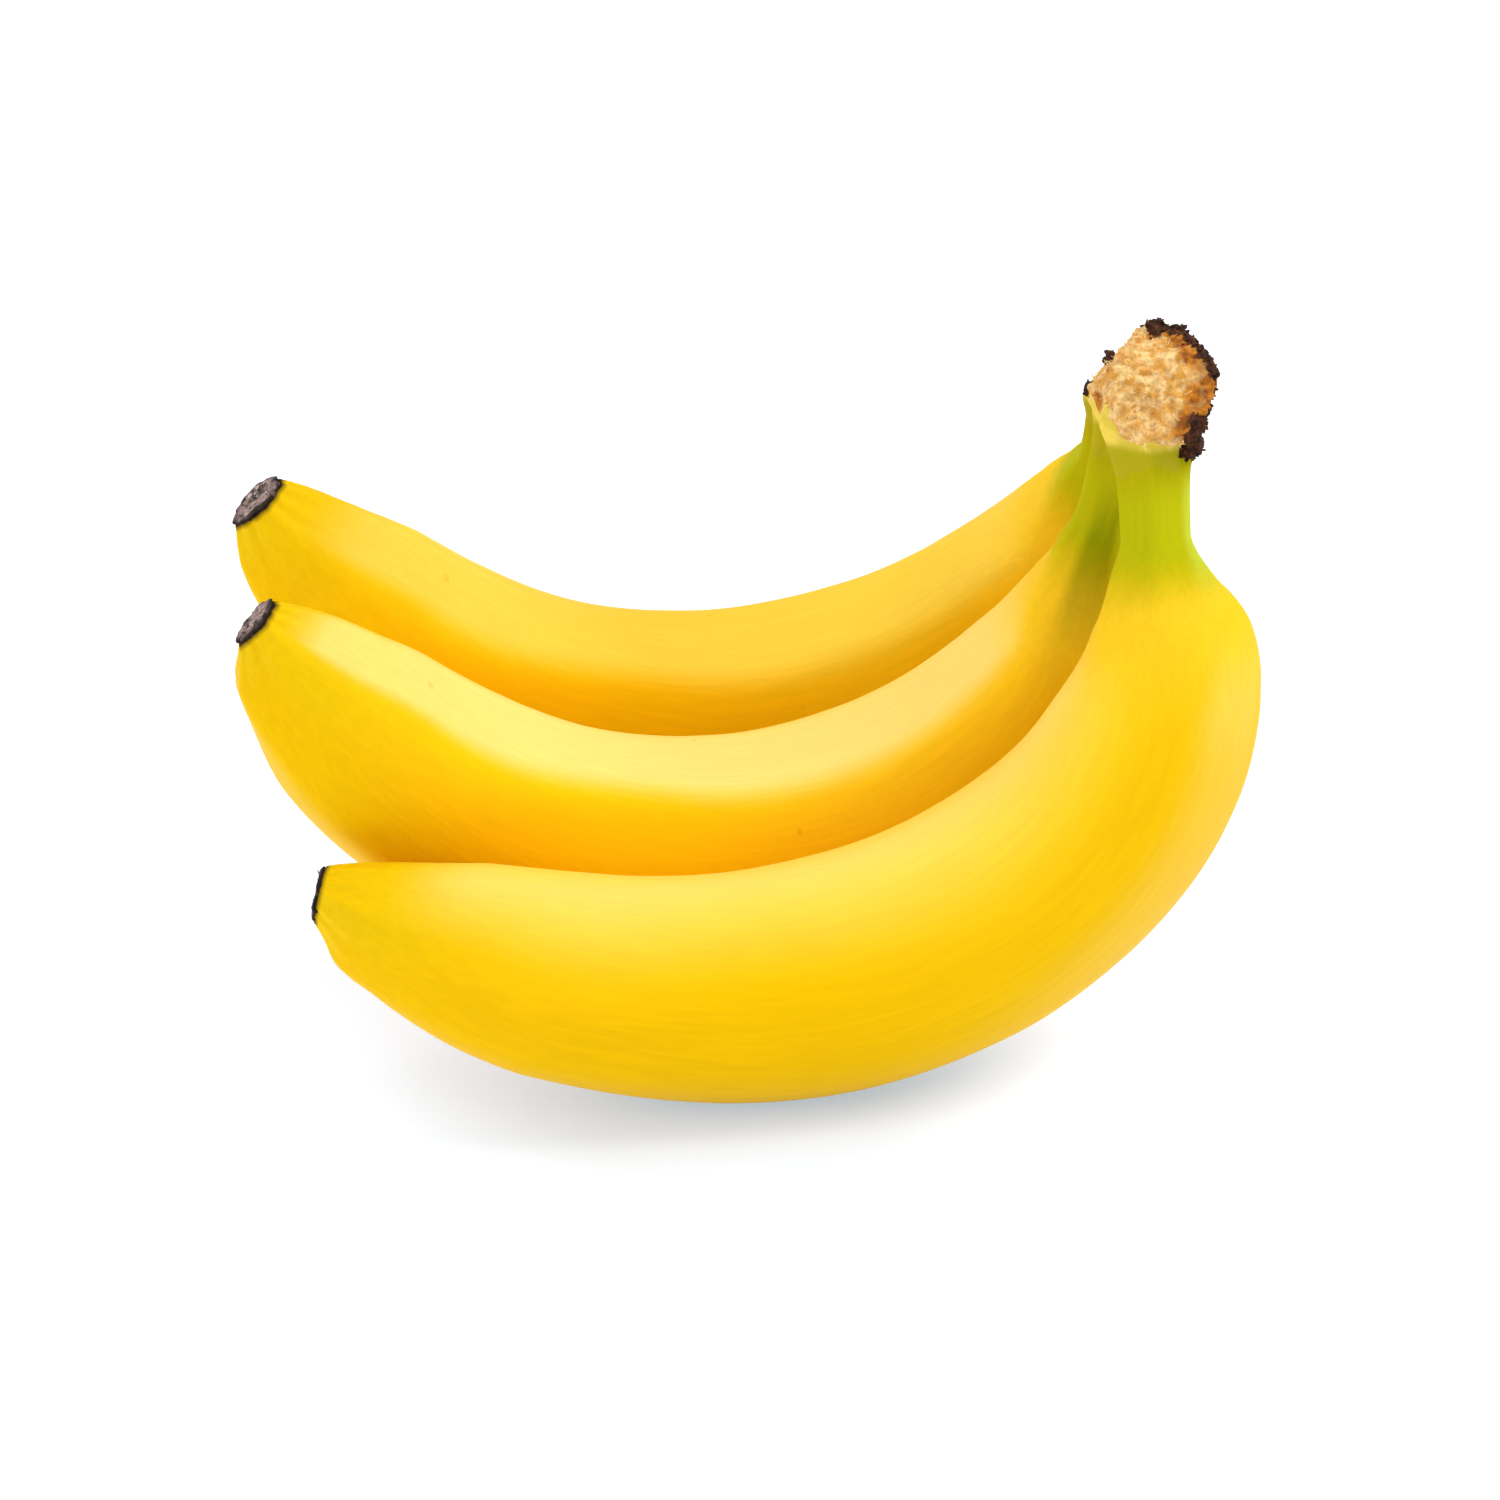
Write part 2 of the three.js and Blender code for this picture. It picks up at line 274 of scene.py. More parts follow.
def complete(piece: Object, tree: NodeTree, values: dict[str, object], slot: Slot, *nodes: str) -> Object:
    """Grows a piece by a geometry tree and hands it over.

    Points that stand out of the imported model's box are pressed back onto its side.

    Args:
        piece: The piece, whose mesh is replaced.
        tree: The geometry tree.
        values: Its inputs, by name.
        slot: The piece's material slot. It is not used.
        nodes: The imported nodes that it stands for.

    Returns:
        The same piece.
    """
    modifier = piece.modifiers.new(tree.name, "NODES")
    modifier.node_group = tree
    for item in tree.interface.items_tree:
        if item.item_type == "SOCKET" and item.in_out == "INPUT" and item.name in values:
            modifier[item.identifier] = values[item.name]
    evaluate(piece, preserve_all_data_layers=True)
    mesh = piece.data
    mesh.polygons.foreach_set("use_smooth", [True] * len(mesh.polygons))
    inside = np.clip(points_of(piece), CAD_BOX[0], CAD_BOX[1])
    mesh.vertices.foreach_set("co", inside.ravel())
    mesh.update()
    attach(piece, BODY)
    if nodes:
        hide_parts(*nodes)
    log.info("%s: %d points, %d faces", piece.name, len(mesh.vertices), len(mesh.polygons))
    return piece


# ---------------- node graphs


class Graph:
    """A node tree with short ways to add nodes and to join their sockets."""

    NUMBERS = {int: "NodeSocketInt", float: "NodeSocketFloat"}

    def __init__(self, tree: NodeTree) -> None:
        """Works on a tree that is there already."""
        self.tree = tree

    @classmethod
    def of_group(cls, name: str, kind: str, result: str, inputs: dict[str, object]) -> "Graph":
        """A new node group with named inputs and one result.

        Args:
            name: Name of the group.
            kind: Type of the tree.
            result: Socket type of the result.
            inputs: Socket type of each input, or the number that it starts at.

        Returns:
            The group's graph, with its input sockets in `given` and the result's in `result`.
        """
        graph = cls(bpy.data.node_groups.new(name, kind))
        sockets = graph.tree.interface
        for title, value in inputs.items():
            socket_type = cls.NUMBERS.get(type(value), value)
            socket = sockets.new_socket(title, in_out="INPUT", socket_type=socket_type)
            if socket_type != value:
                socket.default_value = value
        sockets.new_socket("Result", in_out="OUTPUT", socket_type=result)
        graph.given = graph.add("NodeGroupInput").outputs
        graph.result = graph.add("NodeGroupOutput").inputs[0]
        return graph

    @classmethod
    def of_geometry(cls, name: str, **numbers: float) -> "Graph":
        """A geometry tree that is given a mesh, these numbers and a finish."""
        inputs = {"Geometry": "NodeSocketGeometry", **numbers, "Finish": "NodeSocketMaterial"}
        return cls.of_group(name, "GeometryNodeTree", "NodeSocketGeometry", inputs)

    @classmethod
    def of_effect(cls, name: str, **numbers: float) -> "Graph":
        """A shader group that makes one number from a vector and these numbers."""
        inputs = {"Vector": "NodeSocketVector", **numbers}
        return cls.of_group(name, "ShaderNodeTree", "NodeSocketFloat", inputs)

    def add(self, kind: str, **settings: object) -> Node:
        """A new node with these settings."""
        node = self.tree.nodes.new(kind)
        for name, value in settings.items():
            setattr(node, name, value)
        return node

    def feed(self, socket: NodeSocket, value: object) -> None:
        """Joins a socket to another one, or sets its plain value."""
        if isinstance(value, NodeSocket):
            self.tree.links.new(value, socket)
        else:
            socket.default_value = value

    def fill(self, node: Node, *values: object, **named: object) -> Node:
        """Feeds a node's inputs in their order, and others by name, with _ for a space."""
        for socket, value in zip(node.inputs, values):
            self.feed(socket, value)
        for name, value in named.items():
            self.feed(node.inputs[name.replace("_", " ")], value)
        return node

    def math(self, operation: str, *values: object) -> NodeSocket:
        """Result of one sum on plain numbers."""
        return self.fill(self.add("ShaderNodeMath", operation=operation), *values).outputs[0]

    def fold(self, operation: str, first: object, *others: object) -> NodeSocket:
        """Result of the same sum on number after number."""
        for other in others:
            first = self.math(operation, first, other)
        return first

    def plus(self, *values: object) -> NodeSocket:
        """Sum of the numbers."""
        return self.fold("ADD", *values)

    def times(self, *values: object) -> NodeSocket:
        """Product of the numbers."""
        return self.fold("MULTIPLY", *values)

    def on_vector(self, operation: str, vector: NodeSocket, other: object) -> NodeSocket:
        """Result of a sum on two vectors."""
        return self.fill(self.add("ShaderNodeVectorMath", operation=operation), vector, other).outputs[0]

    def vector(self, x: object, y: object, z: object) -> NodeSocket:
        """A vector of three numbers."""
        return self.fill(self.add("ShaderNodeCombineXYZ"), x, y, z).outputs[0]

    def noise(self, vector: NodeSocket, scale: object, detail: float = 2.0, rough: float = 0.5) -> NodeSocket:
        """Smooth noise between about 0 and 1."""
        node = self.add("ShaderNodeTexNoise")
        return self.fill(node, Vector=vector, Scale=scale, Detail=detail, Roughness=rough).outputs[0]

    def swing(self, value: NodeSocket) -> NodeSocket:
        """How far a value is above or below one half."""
        return self.math("SUBTRACT", value, 0.5)

    def rise(
        self, value: object, low: object, high: object, start: object = 0.0, end: object = 1.0
    ) -> NodeSocket:
        """Smooth change from start to end as value goes from low to high."""
        node = self.add("ShaderNodeMapRange", interpolation_type="SMOOTHSTEP")
        self.fill(node, Value=value, From_Min=low, From_Max=high, To_Min=start, To_Max=end)
        return node.outputs[0]

    def blend(self, factor: object, low: object, high: object, way: str = "MIX") -> NodeSocket:
        """Colour between low and high."""
        node = self.add("ShaderNodeMix", data_type="RGBA", blend_type=way)
        for place, value in ((0, factor), (6, low), (7, high)):
            self.feed(node.inputs[place], value)
        return node.outputs[2]

    def layers(self, colour: NodeSocket, *layers: tuple, way: str = "MIX") -> NodeSocket:
        """A colour with tints laid over it, each by its mask."""
        for mask, tint in layers:
            colour = self.blend(mask, colour, tint, way)
        return colour

    def ramp(self, value: NodeSocket, stops: tuple[tuple[float, Colour], ...]) -> NodeSocket:
        """Colour at value between stops of place and colour."""
        node = self.add("ShaderNodeValToRGB")
        elements = node.color_ramp.elements
        while len(elements) < len(stops):
            elements.new(0.5)
        for element, (position, colour) in zip(elements, stops):
            element.position = position
            element.color = colour
        return self.fill(node, value).outputs[0]

    def mark(self, name: str, output: str = "Fac") -> NodeSocket:
        """A shader's reading of a named attribute of the piece."""
        return self.add("ShaderNodeAttribute", attribute_name=name).outputs[output]

    def place(self) -> NodeSocket:
        """A shader's reading of where it is on the piece."""
        return self.add("ShaderNodeTexCoord").outputs["Object"]

    def point(self) -> NodeSocket:
        """A geometry tree's reading of where a point is."""
        return self.add("GeometryNodeInputPosition").outputs[0]

    def named(self, name: str, kind: str = "FLOAT") -> NodeSocket:
        """A geometry tree's reading of a named attribute of the piece."""
        node = self.add("GeometryNodeInputNamedAttribute", data_type=kind)
        return self.fill(node, name).outputs["Attribute"]

    def use(self, group: NodeTree, **values: object) -> NodeSocket:
        """The result of a shader group, fed by name."""
        return self.fill(self.add("ShaderNodeGroup", node_tree=group), **values).outputs[0]

    def relief(self, height: NodeSocket, depth: float, strength: object, **below: NodeSocket) -> NodeSocket:
        """Normal of a surface with this relief, on top of another Normal where one is given."""
        bump = self.add("ShaderNodeBump")
        return self.fill(bump, Height=height, Distance=depth, Strength=strength, **below).outputs[0]

    def move(self, direction: NodeSocket, height: NodeSocket) -> NodeSocket:
        """The given mesh with its points moved this far in a direction."""
        offset = self.on_vector("MULTIPLY", direction, height)
        node = self.fill(self.add("GeometryNodeSetPosition"), Geometry=self.given["Geometry"], Offset=offset)
        return node.outputs[0]

    def push(self, height: NodeSocket) -> NodeTree:
        """The whole geometry tree that pushes the given mesh out by this height."""
        return self.finished(self.move(self.add("GeometryNodeInputNormal").outputs[0], height))

    def finished(self, geometry: NodeSocket) -> NodeTree:
        """The whole geometry tree, with its instances made real and the finish on everything."""
        whole = self.fill(self.add("GeometryNodeRealizeInstances"), geometry).outputs[0]
        dress = self.add("GeometryNodeSetMaterial")
        self.feed(self.result, self.fill(dress, Geometry=whole, Material=self.given["Finish"]).outputs[0])
        return self.tree


# ---------------- shared surface effects


def grain_group() -> NodeTree:
    """Fine fibres that run along the third axis of the vector."""
    graph = Graph.of_effect("fibre_grain", Fineness=1500.0, Length=0.05)
    given = graph.given
    drawn = graph.on_vector("MULTIPLY", given["Vector"], graph.vector(1.0, 1.0, given["Length"]))
    graph.feed(graph.result, graph.noise(drawn, given["Fineness"], 3.0, 0.55))
    return graph.tree


def speckle_group() -> NodeTree:
    """Scattered soft specks: a mask of 1 in a speck and 0 between them."""
    graph = Graph.of_effect("speckle", Fineness=300.0, Share=0.2, Size=0.25)
    given = graph.given
    cells = graph.fill(graph.add("ShaderNodeTexVoronoi"), Vector=given["Vector"], Scale=given["Fineness"])
    split = graph.fill(graph.add("ShaderNodeSeparateColor"), cells.outputs["Color"])
    chosen = graph.math("LESS_THAN", split.outputs[0], given["Share"])
    reach = graph.times(given["Size"], graph.plus(0.5, split.outputs[1]))
    near = graph.rise(cells.outputs["Distance"], graph.times(reach, SPECK_CORE), reach, 1.0, 0.0)
    graph.feed(graph.result, graph.times(chosen, near))
    return graph.tree


def mottle_group() -> NodeTree:
    """Soft blotches: 0 to 1, with the contrast raised about the middle."""
    graph = Graph.of_effect("mottle", Fineness=100.0, Softness=0.2)
    given = graph.given
    cloud = graph.noise(given["Vector"], given["Fineness"], 3.0, 0.6)
    low, high = (graph.math(way, 0.5, given["Softness"]) for way in ("SUBTRACT", "ADD"))
    graph.feed(graph.result, graph.rise(cloud, low, high))
    return graph.tree


@dataclass(frozen=True)
class Effects:
    """The surface effects that the finishes share."""

    grain: NodeTree = field(default_factory=grain_group)
    speckle: NodeTree = field(default_factory=speckle_group)
    mottle: NodeTree = field(default_factory=mottle_group)


# ---------------- finishes


@dataclass(frozen=True)
class Finish:
    """A material. Each kind says what its shader's sockets get."""

    name: str
    roughness: float
    specular: float

    def build(self, effects: Effects) -> Material:
        """The finish as a material."""
        material = bpy.data.materials.new(self.name)
        material.use_nodes = True
        graph = Graph(material.node_tree)
        shader = material.node_tree.nodes["Principled BSDF"]
        plain = {"Roughness": self.roughness, "Specular IOR Level": self.specular}
        for title, value in {**plain, **self.sockets(graph, effects)}.items():
            graph.feed(shader.inputs[title], value)
        return material

    def sockets(self, graph: Graph, effects: Effects) -> dict[str, object]:
        """What the shader's sockets get, by their names."""
        raise NotImplementedError


@dataclass(frozen=True)
class PeelFinish(Finish):
    """Ripe peel: green on the stalk, golden along the body and brown at the very end."""

    name: str = "banana_peel"
    roughness: float = 0.46
    specular: float = 0.02
    top: Colour = srgb(173, 164, 8)
    stalk: Colour = srgb(178, 177, 11)
    upper: Colour = srgb(250, 200, 28)
    end: Colour = srgb(230, 187, 8)
    # share of the length, and the colour there
    bands: tuple[tuple[float, Colour], ...] = (
        (0.0, top), (0.045, top), (0.075, stalk), (0.11, stalk), (0.122, srgb(190, 177, 10)),
        (0.15, srgb(238, 194, 34)), (0.24, upper), (0.4, upper), (0.6, srgb(249, 192, 6)),
        (0.85, srgb(251, 194, 10)), (0.955, end), (0.9965, end), (0.9985, srgb(120, 84, 26)),
        (0.9995, srgb(46, 30, 18)),
    )
    # painted highlight on the stalk's edge on the outer side of the bend, in a lime tone
    stalk_highlight: Colour = srgb(196, 208, 66)
    # painted shade: deeper gold on the outer sides, off the pale face
    shaded_side: Colour = srgb(232, 181, 2)
    # painted highlight on the pale face between the inner ridges and on the rim
    painted_highlight: Colour = srgb(251, 215, 116)
    fleck: Colour = srgb(150, 96, 20)
    # painted shade that darkens the back finger
    back_shade_tint: Colour = (0.88, 0.89, 0.6, 1.0)
    # painted shade on the side that lies in a neighbour's shade
    crease_shade: Colour = (0.58, 0.64, 0.45, 1.0)
    stalk_roughness: float = 0.75
    stalk_end: Pair = (0.1, 0.2)  # shares of the length where the stalk's roughness fades
    body: tuple[Pair, Pair] = ((0.14, 0.26), (0.97, 0.995))  # where the shades of its sides come and go
    wander: float = 0.02  # share of the length by which the colour borders wander
    end_wander: float = 0.12  # what is left of that at the flower end
    wander_end: Pair = (0.93, 0.99)
    side_shade_fade: Pair = (0.1, 0.75)  # cosines, off the pale face, over which the painted shade of the outer sides fades
    side_shade_strength: float = 0.8
    streaks: Pair = (0.97, 1.03)  # brightness of the darkest and the brightest fibres
    flecks_from: Pair = (0.9, 0.97)  # where the flecks come out in full
    fleck_strength: Pair = (0.2, 0.5)  # before and after that
    gloss: Pair = (-0.05, 0.07)  # what the pores add to the roughness
    cloud_stretch: Triple = (1.0, 1.0, 0.35)  # the smaller the last, the longer the clouds are
    grain_range: Pair = (0.35, 0.7)
    pore_range: Pair = (0.2, 0.8)
    grain_relief: Pair = (0.12 * MM, 0.4)  # depth and strength
    pore_relief: Pair = (0.06 * MM, 0.35)

    def sockets(self, graph: Graph, effects: Effects) -> dict[str, object]:
        """Bands along the finger, painted highlights on the pale face, the rim and the stalk, painted shade
        on the outer sides, on the back finger and in the crease, streaks, flecks and fine pores.
        """
        laid = graph.mark("laid", "Vector")
        along = graph.mark("along")
        cloud = graph.noise(graph.on_vector("MULTIPLY", laid, self.cloud_stretch), 120.0, 3.0)
        free = graph.rise(along, *self.wander_end, self.wander, self.wander * self.end_wander)
        strayed = graph.plus(graph.mark("tone"), graph.times(graph.swing(cloud), free))
        come, go = self.body
        on_body = graph.times(graph.rise(along, *come), graph.rise(along, *go, 1.0, 0.0))
        # painted shade on the outer sides
        side_shade = graph.rise(graph.mark("facing"), *self.side_shade_fade, self.side_shade_strength, 0.0)
        # Painted highlights on the stalk and the pale face, and painted shade on the outer sides.
        colour = graph.layers(
            graph.ramp(strayed, self.bands),
            (graph.mark("lit"), self.stalk_highlight),
            (graph.times(graph.mark("pale"), on_body), self.painted_highlight),
            (graph.times(side_shade, on_body), self.shaded_side),
        )
        grain = graph.use(effects.grain, Vector=laid, Fineness=1300.0, Length=0.04)
        streaks = graph.rise(grain, *self.grain_range, *self.streaks)
        # Painted shade of the back finger and in the crease, multiplied in.
        shades = ((graph.mark("back_shade"), self.back_shade_tint), (graph.mark("crease_shade"), self.crease_shade))
        colour = graph.layers(colour, (1.0, streaks), *shades, way="MULTIPLY")
        flecks = graph.use(effects.speckle, Vector=laid, Fineness=210.0, Share=0.035, Size=0.16)
        shown = graph.times(flecks, graph.rise(along, *self.flecks_from, *self.fleck_strength))
        pores = graph.noise(laid, 2600.0)
        dull = graph.rise(along, *self.stalk_end, self.stalk_roughness - self.roughness, 0.0)
        gloss = graph.rise(pores, *self.pore_range, *(self.roughness + more for more in self.gloss))
        return {
            "Base Color": graph.blend(shown, colour, self.fleck),
            "Roughness": graph.plus(gloss, dull),
            "Normal": graph.relief(
                grain, *self.grain_relief, Normal=graph.relief(pores, *self.pore_relief)
            ),
        }


@dataclass(frozen=True)
class CutFinish(Finish):
    """The crown: tan torn fibre on the cuts, green skin low down, charred along the torn edges."""

    name: str = "cut_crown"
    roughness: float = 0.85
    specular: float = 0.2
    pale: Colour = srgb(250, 214, 146)
    tan: Colour = srgb(226, 164, 72)
    brown: Colour = srgb(158, 98, 38)
    amber: Colour = srgb(204, 128, 34)
    russet: Colour = srgb(146, 80, 24)
    charred: Colour = srgb(36, 20, 14)
    scorched: Colour = srgb(88, 46, 24)
    skin: Colour = srgb(173, 164, 8)
    lip: Colour = srgb(234, 208, 84)
    bruised: Colour = srgb(150, 110, 40)
    lip_height: Pair = (-2.2 * MM, -0.6 * MM)  # over the underside, where the skin turns pale
    lip_strength: Pair = (0.6, 1.0)
    ragged: Triple = (0.5, 0.4, -0.45)  # how far wide and small blotches shift the border of the flesh
    flesh_edge: Pair = (0.35, 0.6)
    relief_edge: Pair = (0.3, 0.6)
    relief_strength: Pair = (0.1, 0.9)  # on the skin and on the flesh
    relief_depth: float = 0.5 * MM
    crumbs: Triple = (1500.0, 4.0, 0.7)  # fineness, detail and roughness of that relief
    thread_shift: Triple = (0.03, 0.01, 0.02)  # metres that the threads' blotches are moved by
    burnt: float = 0.7  # how far the amber wanders
    amber_edge: Pair = (0.2, 0.95)
    crumbled: float = 0.6  # how far the char wanders
    char_edge: Pair = (0.35, 0.7)
    threads: float = 0.35  # how brown the threads in the flesh are
    pits: float = 0.45

    def sockets(self, graph: Graph, effects: Effects) -> dict[str, object]:
        """Skin, then torn flesh on the cuts, then amber and char, with borders that follow the blotches."""
        place = graph.place()
        cut = graph.mark("cut")
        blotch = graph.use(effects.mottle, Vector=place, Fineness=620.0, Softness=0.13)
        patch = graph.use(effects.mottle, Vector=place, Fineness=230.0, Softness=0.13)
        aside = graph.on_vector("ADD", place, self.thread_shift)
        thread = graph.use(effects.mottle, Vector=aside, Fineness=1000.0, Softness=0.1)
        burnt = graph.plus(graph.mark("amber"), graph.times(graph.swing(patch), self.burnt))
        baked = graph.blend(blotch, self.amber, self.russet)
        pits = graph.use(effects.speckle, Vector=place, Fineness=900.0, Share=0.3, Size=0.4)
        flesh = graph.layers(
            graph.blend(blotch, self.tan, self.pale),
            (graph.times(thread, self.threads), self.brown),
            (graph.rise(burnt, *self.amber_edge), baked),
            (graph.times(pits, self.pits), self.bruised),
        )
        uneven = graph.rise(patch, 0.0, 1.0, *self.lip_strength)
        lip = graph.times(graph.rise(graph.mark("low"), *self.lip_height), uneven)
        wide, small, less = self.ragged
        wandered = graph.plus(cut, graph.times(patch, wide), graph.times(blotch, small), less)
        crumbled = graph.plus(graph.mark("char"), graph.times(graph.swing(blotch), self.crumbled))
        black = graph.blend(blotch, self.charred, self.scorched)
        colour = graph.layers(
            graph.blend(lip, self.skin, self.lip),
            (graph.rise(wandered, *self.flesh_edge), flesh),
            (graph.rise(crumbled, *self.char_edge), black),
        )
        torn = graph.rise(wandered, *self.relief_edge, *self.relief_strength)
        relief = graph.relief(graph.noise(place, *self.crumbs), self.relief_depth, torn)
        return {"Base Color": colour, "Normal": relief}


@dataclass(frozen=True)
class DriedFinish(Finish):
    """The dead flower end: purplish black with pale dry specks in its middle."""

    name: str = "dried_flower"
    roughness: float = 0.8
    specular: float = 0.25
    dark: Colour = srgb(46, 30, 30)
    grey: Colour = srgb(164, 138, 130)
    speck: Colour = srgb(222, 196, 194)
    rim: Colour = srgb(34, 20, 14)
    rim_edge: Pair = (0.75, 0.3)  # shares of the way to the middle over which the rim comes
    specks_from: Pair = (0.3, 0.8)  # and over which the specks do
    speck_strength: Pair = (0.1, 0.9)
    crumbs: Triple = (1800.0, 4.0, 0.7)  # fineness, detail and roughness of the relief
    relief: Pair = (0.4 * MM, 0.8)  # depth and strength

    def sockets(self, graph: Graph, effects: Effects) -> dict[str, object]:
        """Grey and dark blotches inside a dark rim, with specks."""
        place = graph.place()
        dished = graph.mark("dished")
        cloud = graph.use(effects.mottle, Vector=place, Fineness=520.0, Softness=0.12)
        specks = graph.use(effects.speckle, Vector=place, Fineness=950.0, Share=0.4, Size=0.4)
        shown = graph.times(specks, graph.rise(dished, *self.specks_from, *self.speck_strength))
        colour = graph.layers(
            graph.blend(cloud, self.dark, self.grey),
            (graph.rise(dished, *self.rim_edge), self.rim),
            (shown, self.speck),
        )
        return {"Base Color": colour, "Normal": graph.relief(graph.noise(place, *self.crumbs), *self.relief)}


@dataclass(frozen=True)
class StrawFinish(Finish):
    """Dry plant fibre or skin that goes from one shade to another in small blotches."""

    dark: Colour
    light: Colour
    relief: Pair = (0.1 * MM, 0.6)  # depth and strength

    def sockets(self, graph: Graph, effects: Effects) -> dict[str, object]:
        """Blotches and a fine grain."""
        place = graph.place()
        cloud = graph.use(effects.mottle, Vector=place, Fineness=750.0, Softness=0.2)
        grain = graph.use(effects.grain, Vector=place, Fineness=3000.0, Length=0.2)
        colour = graph.blend(cloud, self.dark, self.light)
        return {"Base Color": colour, "Normal": graph.relief(grain, *self.relief)}


FINISHES = (
    PeelFinish(),
    CutFinish(),
    DriedFinish(),
    StrawFinish("dry_fibre", 0.85, 0.2, srgb(214, 164, 92), srgb(252, 224, 170)),
    StrawFinish("torn_skin", 0.85, 0.2, srgb(34, 20, 14), srgb(96, 56, 30)),
    StrawFinish("withered_flower", 0.85, 0.2, srgb(74, 56, 50), srgb(196, 182, 172)),
)


# ---------------- fingers


@dataclass(frozen=True)
class CentreLine:
    """Points and directions at shares of a finger's length, in millimetres."""

    share: Array
    point: Array
    heading: Array
    inner: Array
    sideways: Array

    def at(self, shares: Array) -> "CentreLine":
        """The same line read at other shares."""
        rows = [
            np.stack([np.interp(shares, self.share, column) for column in values.T], axis=1)
            for values in (self.point, self.heading, self.inner, self.sideways)
        ]
        return CentreLine(shares, *rows)

    def beside(self, inward: Array, aside: Array) -> Array:
        """Vectors this long towards the inner side and sideways, by ring and by side."""
        return inward[..., None] * self.inner[:, None] + aside[..., None] * self.sideways[:, None]


def root_stretch(shares: Array) -> Array:
    """Factor by which the stalk is stretched along the crown's cut, for each ring."""
    return (1 + ROOT_STRETCH * np.clip(1 - shares / ROOT_LENGTH, 0, None) ** 2)[:, None]


@dataclass(frozen=True)
class Finger:
    """One banana. Lengths are in millimetres and angles in degrees.

    The heading climbs from the first to the second `climb` in the plane of the bend, with a dip of
    `shoulder` where the outer side bulges. It swings from the first to the second `side` and on by
    `tip_turn`.
    """

    name: str
    root: Triple
    length: float
    radius: float
    tip: float  # radius at the end
    straight: float  # share of the length before the bend starts
    lag: float  # how far the bend is held back at first and made up for later
    lead: float  # how far it runs ahead midway
    shoulder: float
    climb: Pair
    side: Pair
    tip_turn: float
    yaw: float  # about the upright axis
    lean: float  # of the plane of the bend from the upright
    ridge: float = 0.7  # how far the section goes from a circle to the rounded pentagon
    highlight_strength: float = 0.8  # how strong the painted highlight is on the pale face between the two inner ridges
    highlight_face: Pair = (24.0, 44.0)  # degrees from that face's middle where the painted highlight starts and ends to fade
    highlight_to: Pair = (0.93, 0.985)  # share of the length over which the painted highlight on the pale face ends
    depth: float = 0.0  # how much deeper than its neighbours' the yellow is, as painted shade for the occlusion by the middle finger and the light falling off towards the back
    ripeness: float = 0.0  # share of the length by which the green ends nearer the crown
    crease_shade: float = 0.0  # how dark the painted shade is on the side that lies in a neighbour's shade
    rim: float = 0.0  # how strong the painted rim highlight on the outer side of the bend is
    reach: float = 0.7  # how far the peel closes round the dried flower
    slant: float = 0.1  # how much further the inner side reaches, as a share of the end's radius
    purse: float = 0.05  # share by which the end is drawn in
    # mm that the high side and the low side stand out beyond the round body, at shares of the length
    high_swell: Knots = EVEN
    low_swell: Knots = EVEN
    seed: float = 0.0

    STEPS = 960
    RINGS = 420
    SIDES = 96
    CROWDING = 0.45  # how much closer the rings stand at the two ends
    START = 0.022  # share of the length where the peel starts, inside the crown's collar
    SWELL_AT = 50.0  # degrees from the inner side to the high side
    RIPE_STRETCH = (0.15, 0.3)  # share of the length, of the painted shade of the back finger
    BACK_SHADE_RUN = ((0.12, 0.0), (0.28, 0.85), (0.65, 1.0), (0.85, 0.25))  # share of the length, of the depth
    # share of the length, and of the painted highlight's strength and width on the pale face
    HIGHLIGHT_RUN = (
        (0.18, 0.85, 1.0), (0.32, 0.92, 0.99), (0.45, 1.0, 1.0), (0.6, 1.0, 0.995), (0.8, 1.0, 0.92),
        (1.0, 0.8, 0.78),
    )
    RIM_HIGHLIGHT_RUN = ((0.1, -155.0), (0.16, -132.0), (0.22, -118.0))  # share, degrees from the inner side to the painted rim highlight
    RIM_HIGHLIGHT_FADE = (14.0, 36.0)  # degrees from there over which the painted rim highlight ends
    RIM_HIGHLIGHT_STRETCHES = ((0.14, 0.2), (0.34, 0.52))  # where it comes and goes on the body
    STALK_HIGHLIGHT = 0.7  # how strong the painted highlight on the stalk is, in a lime tone
    STALK_HIGHLIGHT_STRETCHES = ((0.03, 0.06), (0.1, 0.155))
    CREASE_AT = -57.0  # degrees from the inner side to the side that lies in a neighbour's shade
    CREASE_FADE = (12.0, 32.0)  # degrees from there over which the shade ends
    # share of the length, and how dark the shade is there
    CREASE_RUN = ((0.05, 0.0), (0.1, 1.0), (0.14, 1.0), (0.18, 0.45), (0.27, 0.25), (0.42, 0.0))

    def centre_line(self) -> CentreLine:
        """The bent centre line, from the crown to the tip."""
        s = np.linspace(0, 1, self.STEPS + 1)
        t = np.clip((s - self.straight) / (1 - self.straight), 0, None)
        spread = t - self.lag * np.sin(TURN * t) / TURN + self.lead * (t - t * t)
        dip = self.shoulder * np.exp(-(((s - SHOULDER_AT) / SHOULDER_SPREAD) ** 2))
        climb = np.radians(self.climb[0] + (self.climb[1] - self.climb[0]) * spread - dip)
        fade, arrive, turn = (rising(s, *stretch) for stretch in SWING_STRETCHES)
        side = np.radians(self.side[0] * (1 - fade) + self.side[1] * arrive + self.tip_turn * turn)
        yaw = math.radians(self.yaw)
        lean = math.radians(self.lean)
        level = np.array([math.sin(yaw), math.cos(yaw), 0])
        axes = np.array([
            [-math.cos(yaw), math.sin(yaw), 0],
            np.array([0, 0, math.cos(lean)]) + level * math.sin(lean),
            level * math.cos(lean) - np.array([0, 0, math.sin(lean)]),
        ])

